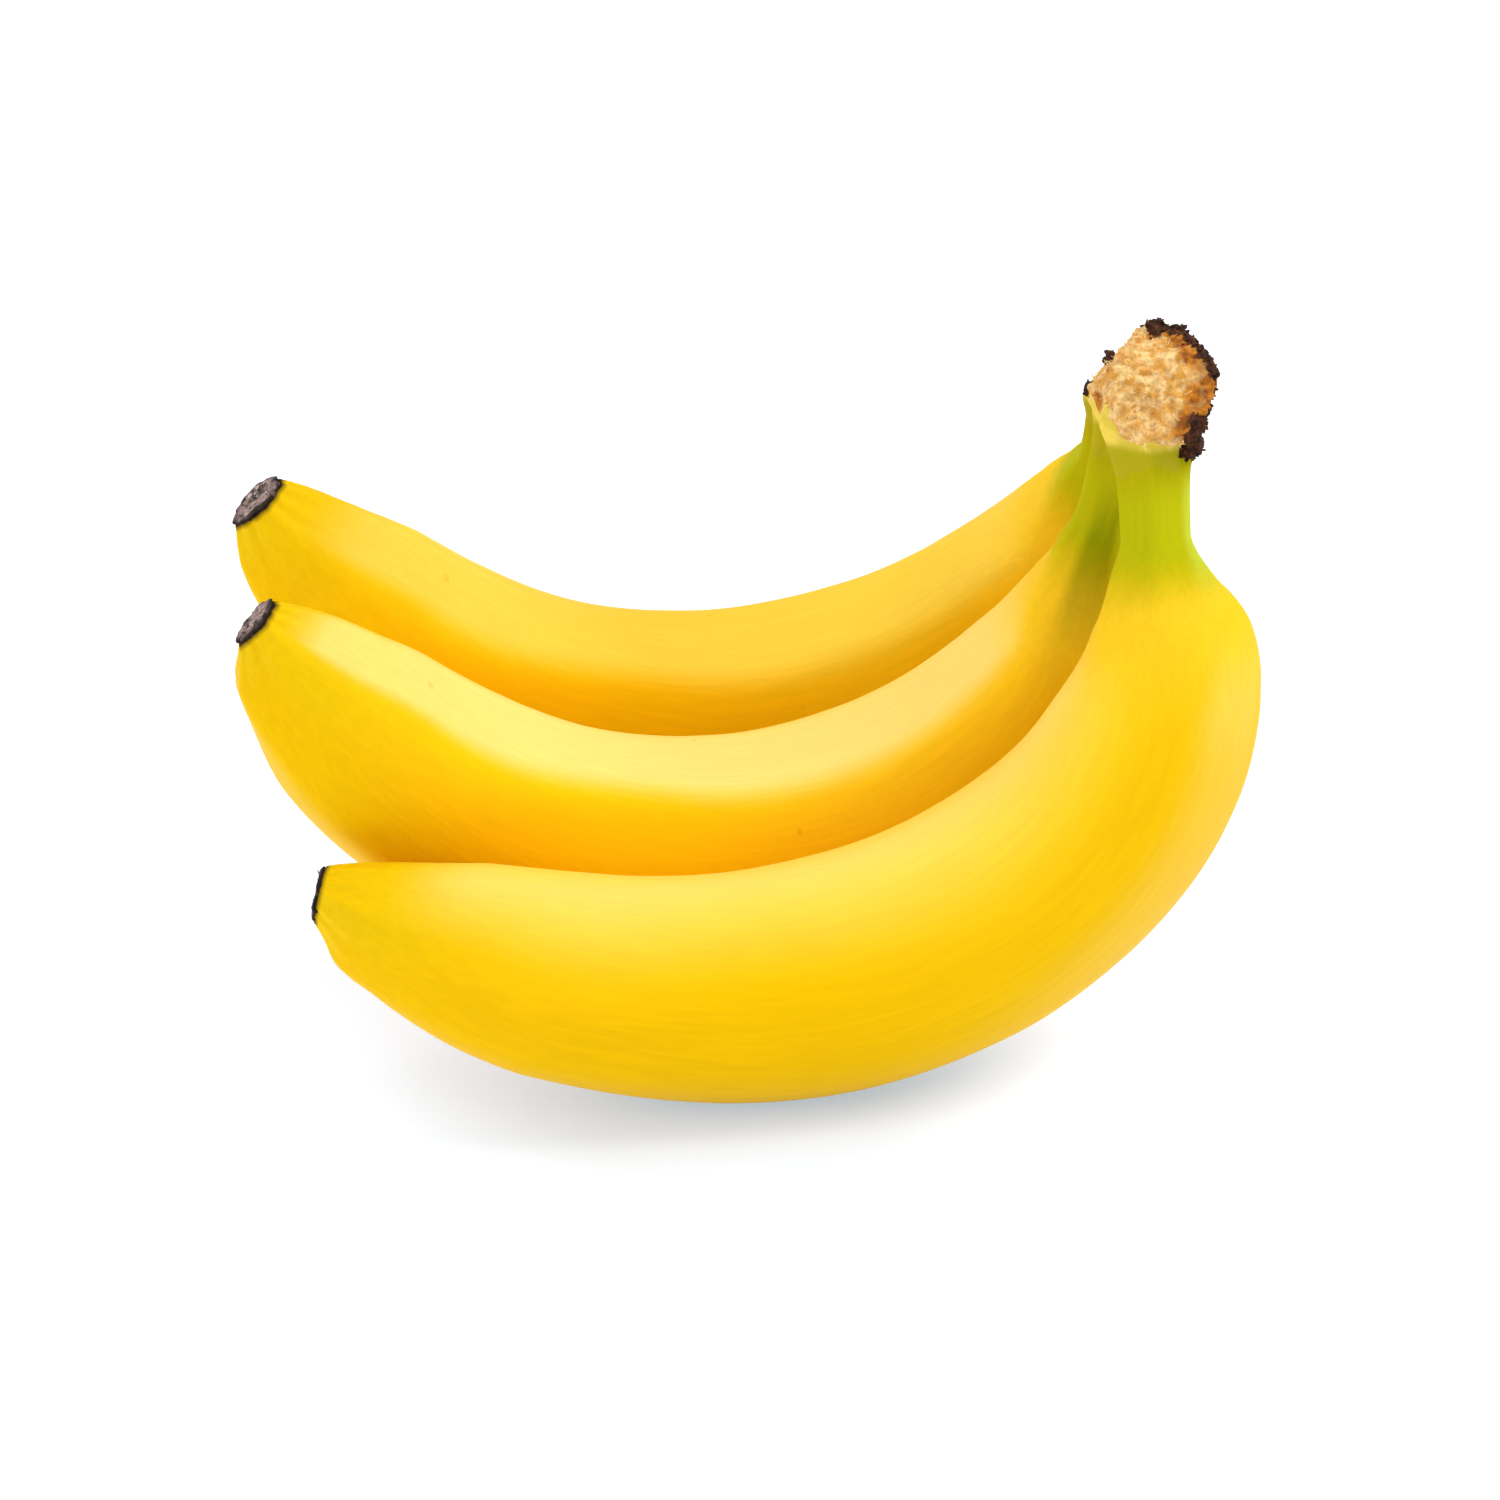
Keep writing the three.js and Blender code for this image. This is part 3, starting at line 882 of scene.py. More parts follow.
        def mix(*parts: Array) -> Array:
            """Directions made of the three axes of the bend."""
            return sum(part[:, None] * axis for part, axis in zip(parts, axes))

        heading = mix(np.cos(side) * np.cos(climb), np.cos(side) * np.sin(climb), np.sin(side))
        inner = mix(-np.sin(climb), np.cos(climb), np.zeros_like(s))
        sideways = mix(-np.sin(side) * np.cos(climb), -np.sin(side) * np.sin(climb), np.cos(side))
        steps = (heading[1:] + heading[:-1]) * (self.length / self.STEPS / 2)
        point = np.vstack([[self.root], self.root + np.cumsum(steps, axis=0)])
        return CentreLine(s, point, heading, inner, sideways)

    def radius_at(self, shares: Array) -> Array:
        """Radius at shares of the length."""
        pursed = 1 - self.purse * rising(shares, *END_STRETCH)
        return self.radius * monotone_curve((*GIRTH, (1.0, self.tip / self.radius)), shares) * pursed

    def twist(self, shares: Array) -> Array:
        """Angle in radians from the inner side to the nearest ridge, for each ring."""
        early, *early_stretch = TWIST_EARLY
        turned = early * falling(shares, *early_stretch)
        for degrees, *stretch in (TWIST_LATE, TWIST_END):
            turned = turned + degrees * rising(shares, *stretch)
        return np.radians(RIDGE_PLACE + turned)[:, None]

    def outreach(self, radius: Array, angle: Array) -> Array:
        """How far the end of the skin is drawn out along the heading, at this radius and angle."""
        return self.reach + self.slant * radius * np.cos(angle)

    def fullness(self, shares: Array, angle: Array) -> Array:
        """How far the skin stands towards the high side of its round body, at angles from that side."""
        high, low = (monotone_curve(swell, shares)[:, None] for swell in (self.high_swell, self.low_swell))
        return high * np.clip(np.cos(angle), 0, None) ** 2 - low * np.clip(-np.cos(angle), 0, None) ** 2

    def shades(self, shares: Array, angle: Array, face: Array) -> dict[str, Array]:
        """Where the peel's colour changes, with its painted highlights and painted shade, for each ring, or
        for each ring and angle.

        Args:
            shares: Shares of the length.
            angle: Degrees from the inner side.
            face: Degrees from the middle of the face between the two inner ridges.

        Returns:
            Masks by the names of their attributes.
        """
        [back_shade] = straight_curve(self.BACK_SHADE_RUN, shares)
        [shade] = straight_curve(self.CREASE_RUN, shares)
        [rim_highlight_at] = straight_curve(self.RIM_HIGHLIGHT_RUN, shares)
        strength, width = straight_curve(self.HIGHLIGHT_RUN, shares)
        width = width[:, None]
        off_face = apart(face, self.highlight_face[1] * (1 - width)) / width
        strength = self.highlight_strength * strength * falling(shares, *self.highlight_to)
        rim = self.rim * falling(apart(angle, rim_highlight_at[:, None]), *self.RIM_HIGHLIGHT_FADE)
        off_crease = apart(angle, self.CREASE_AT)
        on_body, on_stalk = (
            between(shares, *stretches)[:, None] for stretches in (self.RIM_HIGHLIGHT_STRETCHES, self.STALK_HIGHLIGHT_STRETCHES)
        )
        # Painted shade of the back finger and in the crease, and painted highlights on the pale face, the rim
        # and the stalk.
        return {
            "back_shade": self.depth * back_shade,
            "crease_shade": (self.crease_shade * shade)[:, None] * falling(off_crease, *self.CREASE_FADE),
            "pale": np.maximum(falling(off_face, *self.highlight_face) * strength[:, None], rim * on_body),
            "lit": self.STALK_HIGHLIGHT * rim * on_stalk,
        }

    def sweep(self) -> tuple[Array, dict[str, Array]]:
        """The round body before its ridges are raised.

        Returns:
            Its points in millimetres, by ring and by side, and the attributes that the relief and the
            peel read at each of them and at the two end points.
        """
        u = np.linspace(0, 1, self.RINGS)
        crowded = u - self.CROWDING * np.sin(TURN * u) / TURN
        shares = self.START + (1 - self.START) * crowded
        line, radius = self.centre_line().at(shares), self.radius_at(shares)[:, None]
        angle = round_angles(self.SIDES)
        inward, aside = radius * np.cos(angle), radius * np.sin(angle)
        near = rising(shares, *END_STRETCH)[:, None]
        turned = math.radians(self.SWELL_AT)
        high_side = math.cos(turned) * line.inner + math.sin(turned) * line.sideways
        points = line.point[:, None] + line.beside(inward * root_stretch(shares), aside)
        points += (near * self.outreach(radius, angle))[..., None] * line.heading[:, None]
        points += self.fullness(shares, angle - turned)[..., None] * high_side[:, None]
        around = angle - self.twist(shares)
        face = around - RIDGE_SPACING / 2
        laid = np.stack(np.broadcast_arrays(inward, aside, shares[:, None] * self.length), axis=2)
        end_laid = [[0, 0, self.START * self.length], [0, 0, self.length]]
        outward = line.beside(np.cos(angle), np.sin(angle))
        marks = {"around": around, "girth": radius * MM, "facing": np.cos(face)}
        marks |= self.shades(shares, np.degrees(angle), np.degrees(face))
        values = {name: capped(mark, self.SIDES) for name, mark in marks.items()}
        green = shares + self.ripeness * falling(shares, *self.RIPE_STRETCH)
        for name, share in (("along", shares), ("tone", green)):
            values[name] = capped(share, self.SIDES, (self.START, 1.0))
        values["outward"] = np.vstack([outward.reshape(-1, 3), np.zeros((2, 3))])
        values["laid"] = np.vstack([laid.reshape(-1, 3), end_laid]) * MM
        return points, values


FINGERS = (
    Finger(
        "front", (57.9, 50.0, 92.3), 183.5, 17.7, 4.5, straight=0.14, lag=0.14, lead=0.76, shoulder=11,
        climb=(-86.6, 25.8), side=(-31.2, 4.2), tip_turn=16.7, yaw=-12.8, lean=-4.7, ridge=0.35, highlight_strength=0.7,
        highlight_face=(-14.0, 72.0), highlight_to=(0.9, 0.97), ripeness=0.01, rim=0.9, reach=1.7, slant=0.29,
        purse=0.16, seed=1.0,
        high_swell=((0.0, 0.0), (0.12, 0.0), (0.2, -0.95), (0.27, -0.8), (0.42, 0.0), (1.0, 0.0)),
        low_swell=(
            (0.0, 0.0), (0.15, 0.0), (0.24, -0.7), (0.3, -0.85), (0.39, -0.9), (0.46, -0.45), (0.58, 0.0),
            (0.82, 0.0), (0.86, -0.5), (0.9, -0.95), (0.94, -0.8), (0.975, -0.15), (1.0, 0.0),
        ),
    ),
    Finger(
        "middle", (57.4, 62.0, 89.2), 199.3, 18.3, 4.1, straight=0.14, lag=0.22, lead=0.62, shoulder=17.2,
        climb=(-76.9, 54.4), side=(-10.7, -0.1), tip_turn=20.5, yaw=-14.4, lean=-13.2, ridge=0.8,
        highlight_strength=1.0, highlight_face=(23.0, 41.0), highlight_to=(0.965, 1.0), ripeness=0.012, crease_shade=1.0, slant=0.2,
        purse=0.1, seed=2.0,
        high_swell=(
            (0.0, 0.0), (0.12, 0.0), (0.24, -1.1), (0.47, -1.15), (0.58, -1.0), (0.68, -0.75), (0.79, -0.45),
            (0.92, 0.0), (1.0, 0.0),
        ),
        low_swell=((0.0, 0.0), (0.7, 0.0), (0.8, 0.6), (0.86, 0.3), (0.9, 0.1), (0.94, 0.0), (1.0, 0.0)),
    ),
    Finger(
        "back", (56.7, 74.9, 86.6), 204.1, 18.0, 4.8, straight=0.06, lag=0.35, lead=0.51, shoulder=22.6,
        climb=(-89.8, 52.4), side=(7.9, 1.9), tip_turn=18.5, yaw=-11.5, lean=-19.6, ridge=0.75, highlight_strength=0.42,
        highlight_face=(26.0, 46.0), depth=1.0, ripeness=0.006, seed=3.0,
        high_swell=(
            (0.0, 0.0), (0.12, 0.0), (0.18, -0.35), (0.27, -1.45), (0.38, -1.5), (0.5, -1.2), (0.62, -1.3),
            (0.73, -1.2), (0.85, -0.5), (0.93, 0.0), (1.0, 0.0),
        ),
    ),
)


def construction_shift() -> Array:
    """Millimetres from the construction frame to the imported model's, read off the front finger's node."""
    points, _ = replace(FINGERS[0], high_swell=EVEN, low_swell=EVEN).sweep()
    low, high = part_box("banana_front")
    return np.array([high.x / MM - points[..., 0].max(), low.y / MM - points[..., 1].min(), 0.0])


@dataclass(frozen=True)
class Bench:
    """What the pieces are made with: the construction frame's shift, and the materials by name."""

    shift: Array
    materials: dict[str, Material]

    def piece(self, name: str, solid: Solid) -> Object:
        """A new piece from points in the construction frame, with their faces."""
        points, faces = solid
        return new_piece(name, (points + self.shift) * MM, faces)


def peel_tree() -> NodeTree:
    """The geometry tree that raises a finger's ridges, lumps, wrinkles and puckered end."""
    graph = Graph.of_geometry("peel_relief", Ridge=0.7, Lump=0.0004, Wrinkle=0.0003, Pucker=0.0002, Seed=0.0)
    given = graph.given
    along = graph.named("along")
    around = graph.named("around")
    start = graph.on_vector("MULTIPLY", given["Seed"], SEED_STEP)
    laid = graph.on_vector("ADD", graph.named("laid", "FLOAT_VECTOR"), start)
    stalk = graph.rise(along, *STALK_FADE, 1.0, 0.0)
    end = graph.rise(along, *END_FURROWS)
    reach = []
    for k in range(RIDGES):
        face = graph.math("COSINE", graph.math("SUBTRACT", around, (k + 0.5) * RIDGE_SPACING))
        reach.append(graph.math("POWER", graph.math("MAXIMUM", face, 0.0), CORNER_POWER))
    raised = graph.math("SUBTRACT", graph.math("POWER", graph.plus(*reach), -1 / CORNER_POWER), MEAN_PENTAGON)
    strength = graph.math("MAXIMUM", given["Ridge"], graph.times(stalk, STALK_RIDGE))
    lumps = graph.swing(graph.noise(laid, LUMP_FINENESS))
    drawn = graph.on_vector("MULTIPLY", laid, (1.0, 1.0, FURROW_LENGTH))
    grooves = graph.swing(graph.noise(drawn, FURROW_FINENESS))
    ripple = graph.math("SINE", graph.times(around, PUCKERS))
    height = graph.plus(
        graph.times(graph.named("girth"), graph.times(raised, strength)),
        graph.times(lumps, given["Lump"]),
        graph.times(grooves, graph.plus(stalk, end), given["Wrinkle"]),
        graph.times(ripple, graph.rise(along, *PUCKER_STRETCH), given["Pucker"]),
    )
    return graph.finished(graph.move(graph.named("outward", "FLOAT_VECTOR"), height))


@dataclass(frozen=True)
class Peel:
    """Makes the fingers' skins, with their ridges and wrinkles."""

    bench: Bench
    lump: float = 0.45 * MM
    wrinkle: float = 0.28 * MM
    pucker: float = 0.22 * MM
    tree: NodeTree = field(default_factory=peel_tree)

    def make(self, finger: Finger) -> Object:
        """One finished finger."""
        points, values = finger.sweep()
        piece = self.bench.piece(f"{finger.name}_banana", closed_tube(points))
        store(piece, values)
        settings = {
            "Ridge": finger.ridge, "Lump": self.lump, "Wrinkle": self.wrinkle, "Pucker": self.pucker,
            "Seed": finger.seed, "Finish": self.bench.materials["banana_peel"],
        }
        return complete(piece, self.tree, settings, Slot.PEEL, f"banana_{finger.name}")


# ---------------- dried flower ends


def crumpled_tree() -> NodeTree:
    """The geometry tree that crumples a flower end."""
    graph = Graph.of_geometry("crumpled", Depth=0.0006)
    coarse = graph.swing(graph.noise(graph.point(), 620.0, 3.0, 0.6))
    return graph.push(graph.times(coarse, graph.given["Depth"]))


@dataclass(frozen=True)
class FlowerEnd:
    """Makes the dried flower end of each finger: a ragged plug with a dished middle."""

    bench: Bench
    # mm beyond the fruit and share of the fruit's end radius, from the hidden root to the dished middle
    profile: Knots = (
        (-0.7, 0.8), (-0.3, 0.93), (0.0, 0.99), (0.25, 1.01), (0.45, 0.98), (0.6, 0.9), (0.62, 0.78),
        (0.5, 0.62), (0.38, 0.45), (0.3, 0.25), (0.34, 0.08),
    )
    ragged: float = 0.07  # share of the radius that its lobes stand out
    rings: int = 44
    sides: int = 80
    crackle: float = 0.8 * MM
    bloom: Pair = (0.5, 0.75)  # share of the way along the profile over which the withered flower starts
    tree: NodeTree = field(default_factory=crumpled_tree)

    def make(self, finger: Finger) -> Object:
        """One flower end, on the end of its finger."""
        line = finger.centre_line().at(np.ones(self.rings))
        row = np.linspace(0, len(self.profile) - 1, self.rings)
        beyond, share = straight_curve([(place, *pair) for place, pair in enumerate(self.profile)], row)
        angle = round_angles(self.sides)
        wobble = np.sin(5 * angle + finger.length) * np.sin(2 * angle + 1.0) + 0.5 * np.sin(11 * angle + 2.0)
        radius = finger.tip * (1 - finger.purse) * share[:, None] * (1 + self.ragged * wobble)
        ahead = beyond[:, None] + finger.outreach(radius, angle)
        points = line.point[:, None] + ahead[..., None] * line.heading[:, None]
        points += line.beside(radius * np.cos(angle), radius * np.sin(angle))
        piece = self.bench.piece(f"{finger.name}_flower_end", closed_tube(points))
        dished = capped(np.linspace(0, 1, self.rings), self.sides, (0.0, 1.0))
        store(piece, {"dished": dished, "bloom": rising(dished, *self.bloom)})
        settings = {"Depth": self.crackle, "Finish": self.bench.materials["dried_flower"]}
        return complete(piece, self.tree, settings, Slot.DRIED, f"tip_{finger.name}")


# ---------------- crown


@dataclass(frozen=True)
class Cut:
    """A flat cut or torn side of the crown, in the construction frame."""

    point: Triple
    normal: Triple

    @property
    def outward(self) -> Array:
        """The direction square to the cut, with length 1."""
        return np.array(self.normal) / np.linalg.norm(self.normal)

    def depth(self, points: Array) -> Array:
        """Millimetres from the cut's plane inwards to each point."""
        return (np.array(self.point) - points) @ self.outward

    def trim(self, points: Array) -> Array:
        """The points, with each one beyond the cut moved onto it."""
        beyond = np.clip(-self.depth(points), 0, None)
        return points - beyond[:, None] * self.outward


@dataclass(frozen=True)
class Scrap:
    """A dry dark scrap of torn skin, in millimetres, in the construction frame."""

    place: Triple
    size: Triple
    lump: float = 0.18  # share of its size that its lumps stand out

    def solid(self, around: int = 20, rows: int = 10) -> Solid:
        """The scrap, lumpy and closed."""
        lift = np.linspace(-1, 1, rows + 2)[1:-1, None]
        angle = round_angles(around)
        ring = np.sqrt(1 - lift**2)
        lumps = 1 + self.lump * np.sin(3 * angle + 4 * lift) * np.cos(2 * angle - self.place[1])
        sides = np.broadcast_arrays(ring * np.cos(angle) * lumps, ring * np.sin(angle) * lumps, lift)
        points, faces = closed_tube(np.stack(sides, axis=2), [(0, 0, -1), (0, 0, 1)])
        return np.array(self.place) + points * np.array(self.size) / 2, faces

    def nearness(self, points: Array, reach: float) -> Array:
        """1 on the scrap, and 0 at `reach` times its size and beyond."""
        away = np.linalg.norm((points - np.array(self.place)) / (np.array(self.size) / 2), axis=1)
        return falling(away, 1.0, reach)


def torn_tree() -> NodeTree:
    """The geometry tree that tears up the crown's cut faces."""
    graph = Graph.of_geometry("torn_face", Depth=0.001)
    place = graph.point()
    coarse, fine = (graph.swing(graph.noise(place, fineness)) for fineness in TORN_FINENESS)
    torn = graph.rise(graph.named("torn"), 0.0, 1.0, SKIN_RELIEF, 1.0)
    depth = graph.times(torn, graph.given["Depth"])
    return graph.push(graph.times(graph.plus(coarse, graph.times(fine, 0.5)), depth))


@dataclass(frozen=True)
class Crown:
    """The cut cushion that the stalks grow from. Lengths are in millimetres unless MM is in them."""

    bench: Bench
    front: Cut = Cut((58, 40.5, 95.5), (-0.1, -0.68, 0.73))
    top: Cut = Cut((58, 60, 103), (-0.1, 0.05, 0.99))
    rear: Cut = Cut((58, 74, 96), (0, 0.6, 0.8))
    left: Cut = Cut((54.1, 62, 98), (-0.73, 0.34, 0.59))
    upper_right: Cut = Cut((61.8, 64, 100.4), (0.52, 0.43, 0.74))
    right: Cut = Cut((65.7, 60, 97), (0.87, 0.25, 0.43))
    undercut: Cut = Cut((65.3, 50, 93.6), (0.96, -0.14, -0.25))
    underside: Cut = Cut((58, 58.5, 89.8), (0, -0.196, -0.98))
    scraps: tuple[Scrap, ...] = (
        Scrap((63.6, 45.4, 91.3), (2.9, 3.6, 5.0)),
        Scrap((52.5, 59.6, 98.2), (1.6, 3.0, 1.5)),
        Scrap((49.3, 60.0, 93.4), (1.7, 3.0, 1.4)),
        Scrap((66.7, 56.0, 95.9), (1.6, 7.0, 2.2)),
        Scrap((64.0, 56.5, 99.0), (1.7, 7.5, 1.7)),
        Scrap((58.8, 59.5, 103.2), (1.8, 4.5, 1.8)),
    )
    scorch: float = 1.7  # how far the char goes round a scrap, as a share of its size
    halo: float = 3.2  # how far the flesh is browned round it
    left_skin: tuple[Pair, Pair, Pair] = ((50.1, 51.9), (60.0, 67.0), (94.1, 96.5))  # x, y, z of its ends
    bruise: Triple = (50.3, 50.3, 96.0)
    bruise_fade: Pair = (0.5, 3.2)  # distance over which it ends
    underside_rise: Knots = ((64.0, 0.0), (75.0, 3.0))  # y, and how much higher the skin reaches there
    pitting: float = 0.33  # how far the dried side is charred in spots
    weld: float = 1e-6  # metres between points that are the same
    voxel: float = 0.27 * MM
    melting: int = 3  # rounds of smoothing
    tear: float = 2.6 * MM
    collar_length: float = 0.05  # share of a finger's length that the crown's skin runs down its stalk
    collar_girth: Pair = (1.11, 0.965)  # share of the stalk's girth at the collar's top and end
    collar_rise: float = 2.0
    collar_mesh: tuple[int, int] = (12, 40)  # rings and sides
    web_length: float = 0.05  # share of the length over which neighbouring stalks are grown together
    web_arch: float = 0.5  # how much shorter the web is midway
    web_radius: float = 2.4
    web_taper: float = 0.5  # how much thinner the web is at its end
    web_mesh: tuple[int, int] = (16, 24)

    # Where marks come and go: depths in from the cuts, heights over the underside, places on an axis.
    TORN_DEPTH = (1.8, 3.4)
    TORN_HEIGHT = (0.0, 1.1)
    CHAR_DEPTH = (0.4, 1.9)
    CHAR_HEIGHT = (-0.4, 0.8)
    BORDER_DEPTH = (1.4, 3.4)  # of the black line between the dried side and the front and top cuts
    SPOTS_Y = (50.0, 56.0)
    CORNER = ((1.4, 3.0), (4.0, 5.6), (50.0, 54.0))  # depth, height and y of the black lower corner
    SIDE_DEPTH = (2.0, 5.2)  # of the amber inside the right side and the undercut
    DRIED_DEPTH = (1.0, 3.0)  # of the amber inside all of the dried side
    AMBER_HEIGHT = (0.5, 2.5)
    # depth in from the left and the front cut, and z, of the brown brink between them
    BRINK = ((0.3, 1.6), (0.8, 2.6), (95.5, 98.0))
    HALO_HEIGHT = (-0.3, 1.0)
    BRUISE_CUT = 0.85  # how far the bruise shows as cut flesh
    BRUISE_AMBER = 0.9
    BRINK_AMBER = 0.8
    HALO_BROWN = 0.8  # how far the halos show, as cut flesh and as amber

    def collar(self, finger: Finger) -> Solid:
        """The top of a stalk, to be melted into the crown."""
        rings, sides = self.collar_mesh
        shares = np.linspace(0, self.collar_length, rings)
        line = finger.centre_line().at(shares)
        girth = finger.radius_at(shares) * np.linspace(*self.collar_girth, rings)
        angle = round_angles(sides)
        raised = pentagon(angle - finger.twist(shares)) - MEAN_PENTAGON
        ridged = girth[:, None] * (1 + STALK_RIDGE * raised)
        inward = ridged * np.cos(angle) * root_stretch(shares)
        points = line.point[:, None] + line.beside(inward, ridged * np.sin(angle))
        points = np.concatenate([(points[0] - line.heading[0] * self.collar_rise)[None], points])
        points, faces = closed_tube(points)
        return self.rear.trim(self.left.trim(points)), faces

    def web(self, one: Finger, other: Finger) -> Solid:
        """The flesh between the tops of two neighbouring stalks. It's arched below."""
        rings, sides = self.web_mesh
        across = np.linspace(0, 1, rings)[:, None]
        angle = round_angles(sides)
        reach = self.web_length * (1 - self.web_arch * np.sin(math.pi * across))
        shares = reach * (1 + np.sin(angle)) / 2
        first, second = (finger.centre_line().at(shares.ravel()) for finger in (one, other))
        span = np.repeat(across, sides, axis=1).reshape(-1, 1)
        sideways = np.cross(first.heading, second.point - first.point)
        sideways /= np.linalg.norm(sideways, axis=1, keepdims=True)
        thick = self.web_radius * (1 - self.web_taper * shares / self.web_length) * np.cos(angle)
        points = first.point * (1 - span) + second.point * span + thick.reshape(-1, 1) * sideways
        return closed_tube(points.reshape(rings, sides, 3))

    def melted(self) -> Object:
        """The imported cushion, the stalk tops, the webs and the scraps, melted into one fine skin."""
        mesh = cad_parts["crown"].data.copy()
        shape = bmesh.new()
        shape.from_mesh(mesh)
        bmesh.ops.remove_doubles(shape, verts=shape.verts, dist=self.weld)
        parts = [self.collar(finger) for finger in FINGERS]
        parts += [self.web(one, other) for one, other in zip(FINGERS, FINGERS[1:])]
        parts += [scrap.solid() for scrap in self.scraps]
        for points, faces in parts:
            added = [shape.verts.new(p) for p in ((points + self.bench.shift) * MM).tolist()]
            for face in faces:
                shape.faces.new([added[i] for i in face])
        bmesh.ops.recalc_face_normals(shape, faces=shape.faces)
        mesh.clear_geometry()
        shape.to_mesh(mesh)
        shape.free()
        mesh.materials.clear()
        piece = link("crown_cushion", mesh)
        remesh = piece.modifiers.new("melt", "REMESH")
        remesh.mode = "VOXEL"
        remesh.voxel_size = self.voxel
        smooth = piece.modifiers.new("soften", "SMOOTH")
        smooth.factor = 0.5
        smooth.iterations = self.melting
        evaluate(piece)
        bpy.data.meshes.remove(mesh)
        return piece

    def paint(self, piece: Object) -> None:
        """Marks where the crown is cut, ambered and charred."""
        points = points_of(piece) / MM - self.bench.shift
        x, y, z = points.T

        def inside(*cuts: Cut) -> Array:
            """Depth below the nearest of these cuts."""
            return np.min([cut.depth(points) for cut in cuts], axis=0)

        def near_scraps(reach: float) -> Array:
            """Nearness to the nearest scrap."""
            return np.max([scrap.nearness(points, reach) for scrap in self.scraps], axis=0)

        def fade(*fades: tuple[Array, Pair]) -> Array:
            """1 where every depth or place is below its stretch, and 0 where one is beyond."""
            return np.prod([falling(values, *stretch) for values, stretch in fades], axis=0)

        low, under, front = (inside(cut) for cut in (self.underside, self.undercut, self.front))
        dried = inside(self.upper_right, self.right)
        nearest = np.min([inside(self.top, self.rear, self.left), front, dried, under], axis=0)
        [lifted] = straight_curve(self.underside_rise, y)
        above = low - lifted
        skinned = fade(*zip((x, y, z), self.left_skin))
        bruised = falling(np.linalg.norm(points - np.array(self.bruise), axis=1), *self.bruise_fade)
        cut = falling(nearest, *self.TORN_DEPTH) * rising(above, *self.TORN_HEIGHT) * (1 - skinned)
        border = falling(inside(self.front, self.top), *self.BORDER_DEPTH)
        spots = np.maximum(border, self.pitting * rising(y, *self.SPOTS_Y))
        black = np.maximum(falling(dried, *self.CHAR_DEPTH) * spots, fade(*zip((under, low, y), self.CORNER)))
        scrap = near_scraps(self.scorch)
        charred = np.maximum(black * rising(above, *self.CHAR_HEIGHT), scrap)
        brown = falling(inside(self.right, self.undercut), *self.SIDE_DEPTH)
        brown = np.maximum(brown, falling(dried, *self.DRIED_DEPTH)) * rising(low, *self.AMBER_HEIGHT)
        left_depth, front_depth, brink_z = self.BRINK
        brink = fade((inside(self.left), left_depth), (front, front_depth)) * rising(z, *brink_z)
        halo = self.HALO_BROWN * near_scraps(self.halo) * rising(low, *self.HALO_HEIGHT)
        amber = np.max([brown, self.BRUISE_AMBER * bruised, self.BRINK_AMBER * brink, halo], axis=0)
        store(piece, {
            "cut": np.max([cut, self.BRUISE_CUT * bruised, halo], axis=0),
            "amber": amber,
            "char": charred,
            "fresh": cut * (1 - charred) * (1 - amber),
            "torn": np.maximum(cut, scrap),
            "low": low * MM,
        })

    def make(self) -> Object:
        """The finished crown."""
        piece = self.melted()
        self.paint(piece)
        settings = {"Depth": self.tear, "Finish": self.bench.materials["cut_crown"]}
        return complete(piece, torn_tree(), settings, Slot.CUT, "crown")


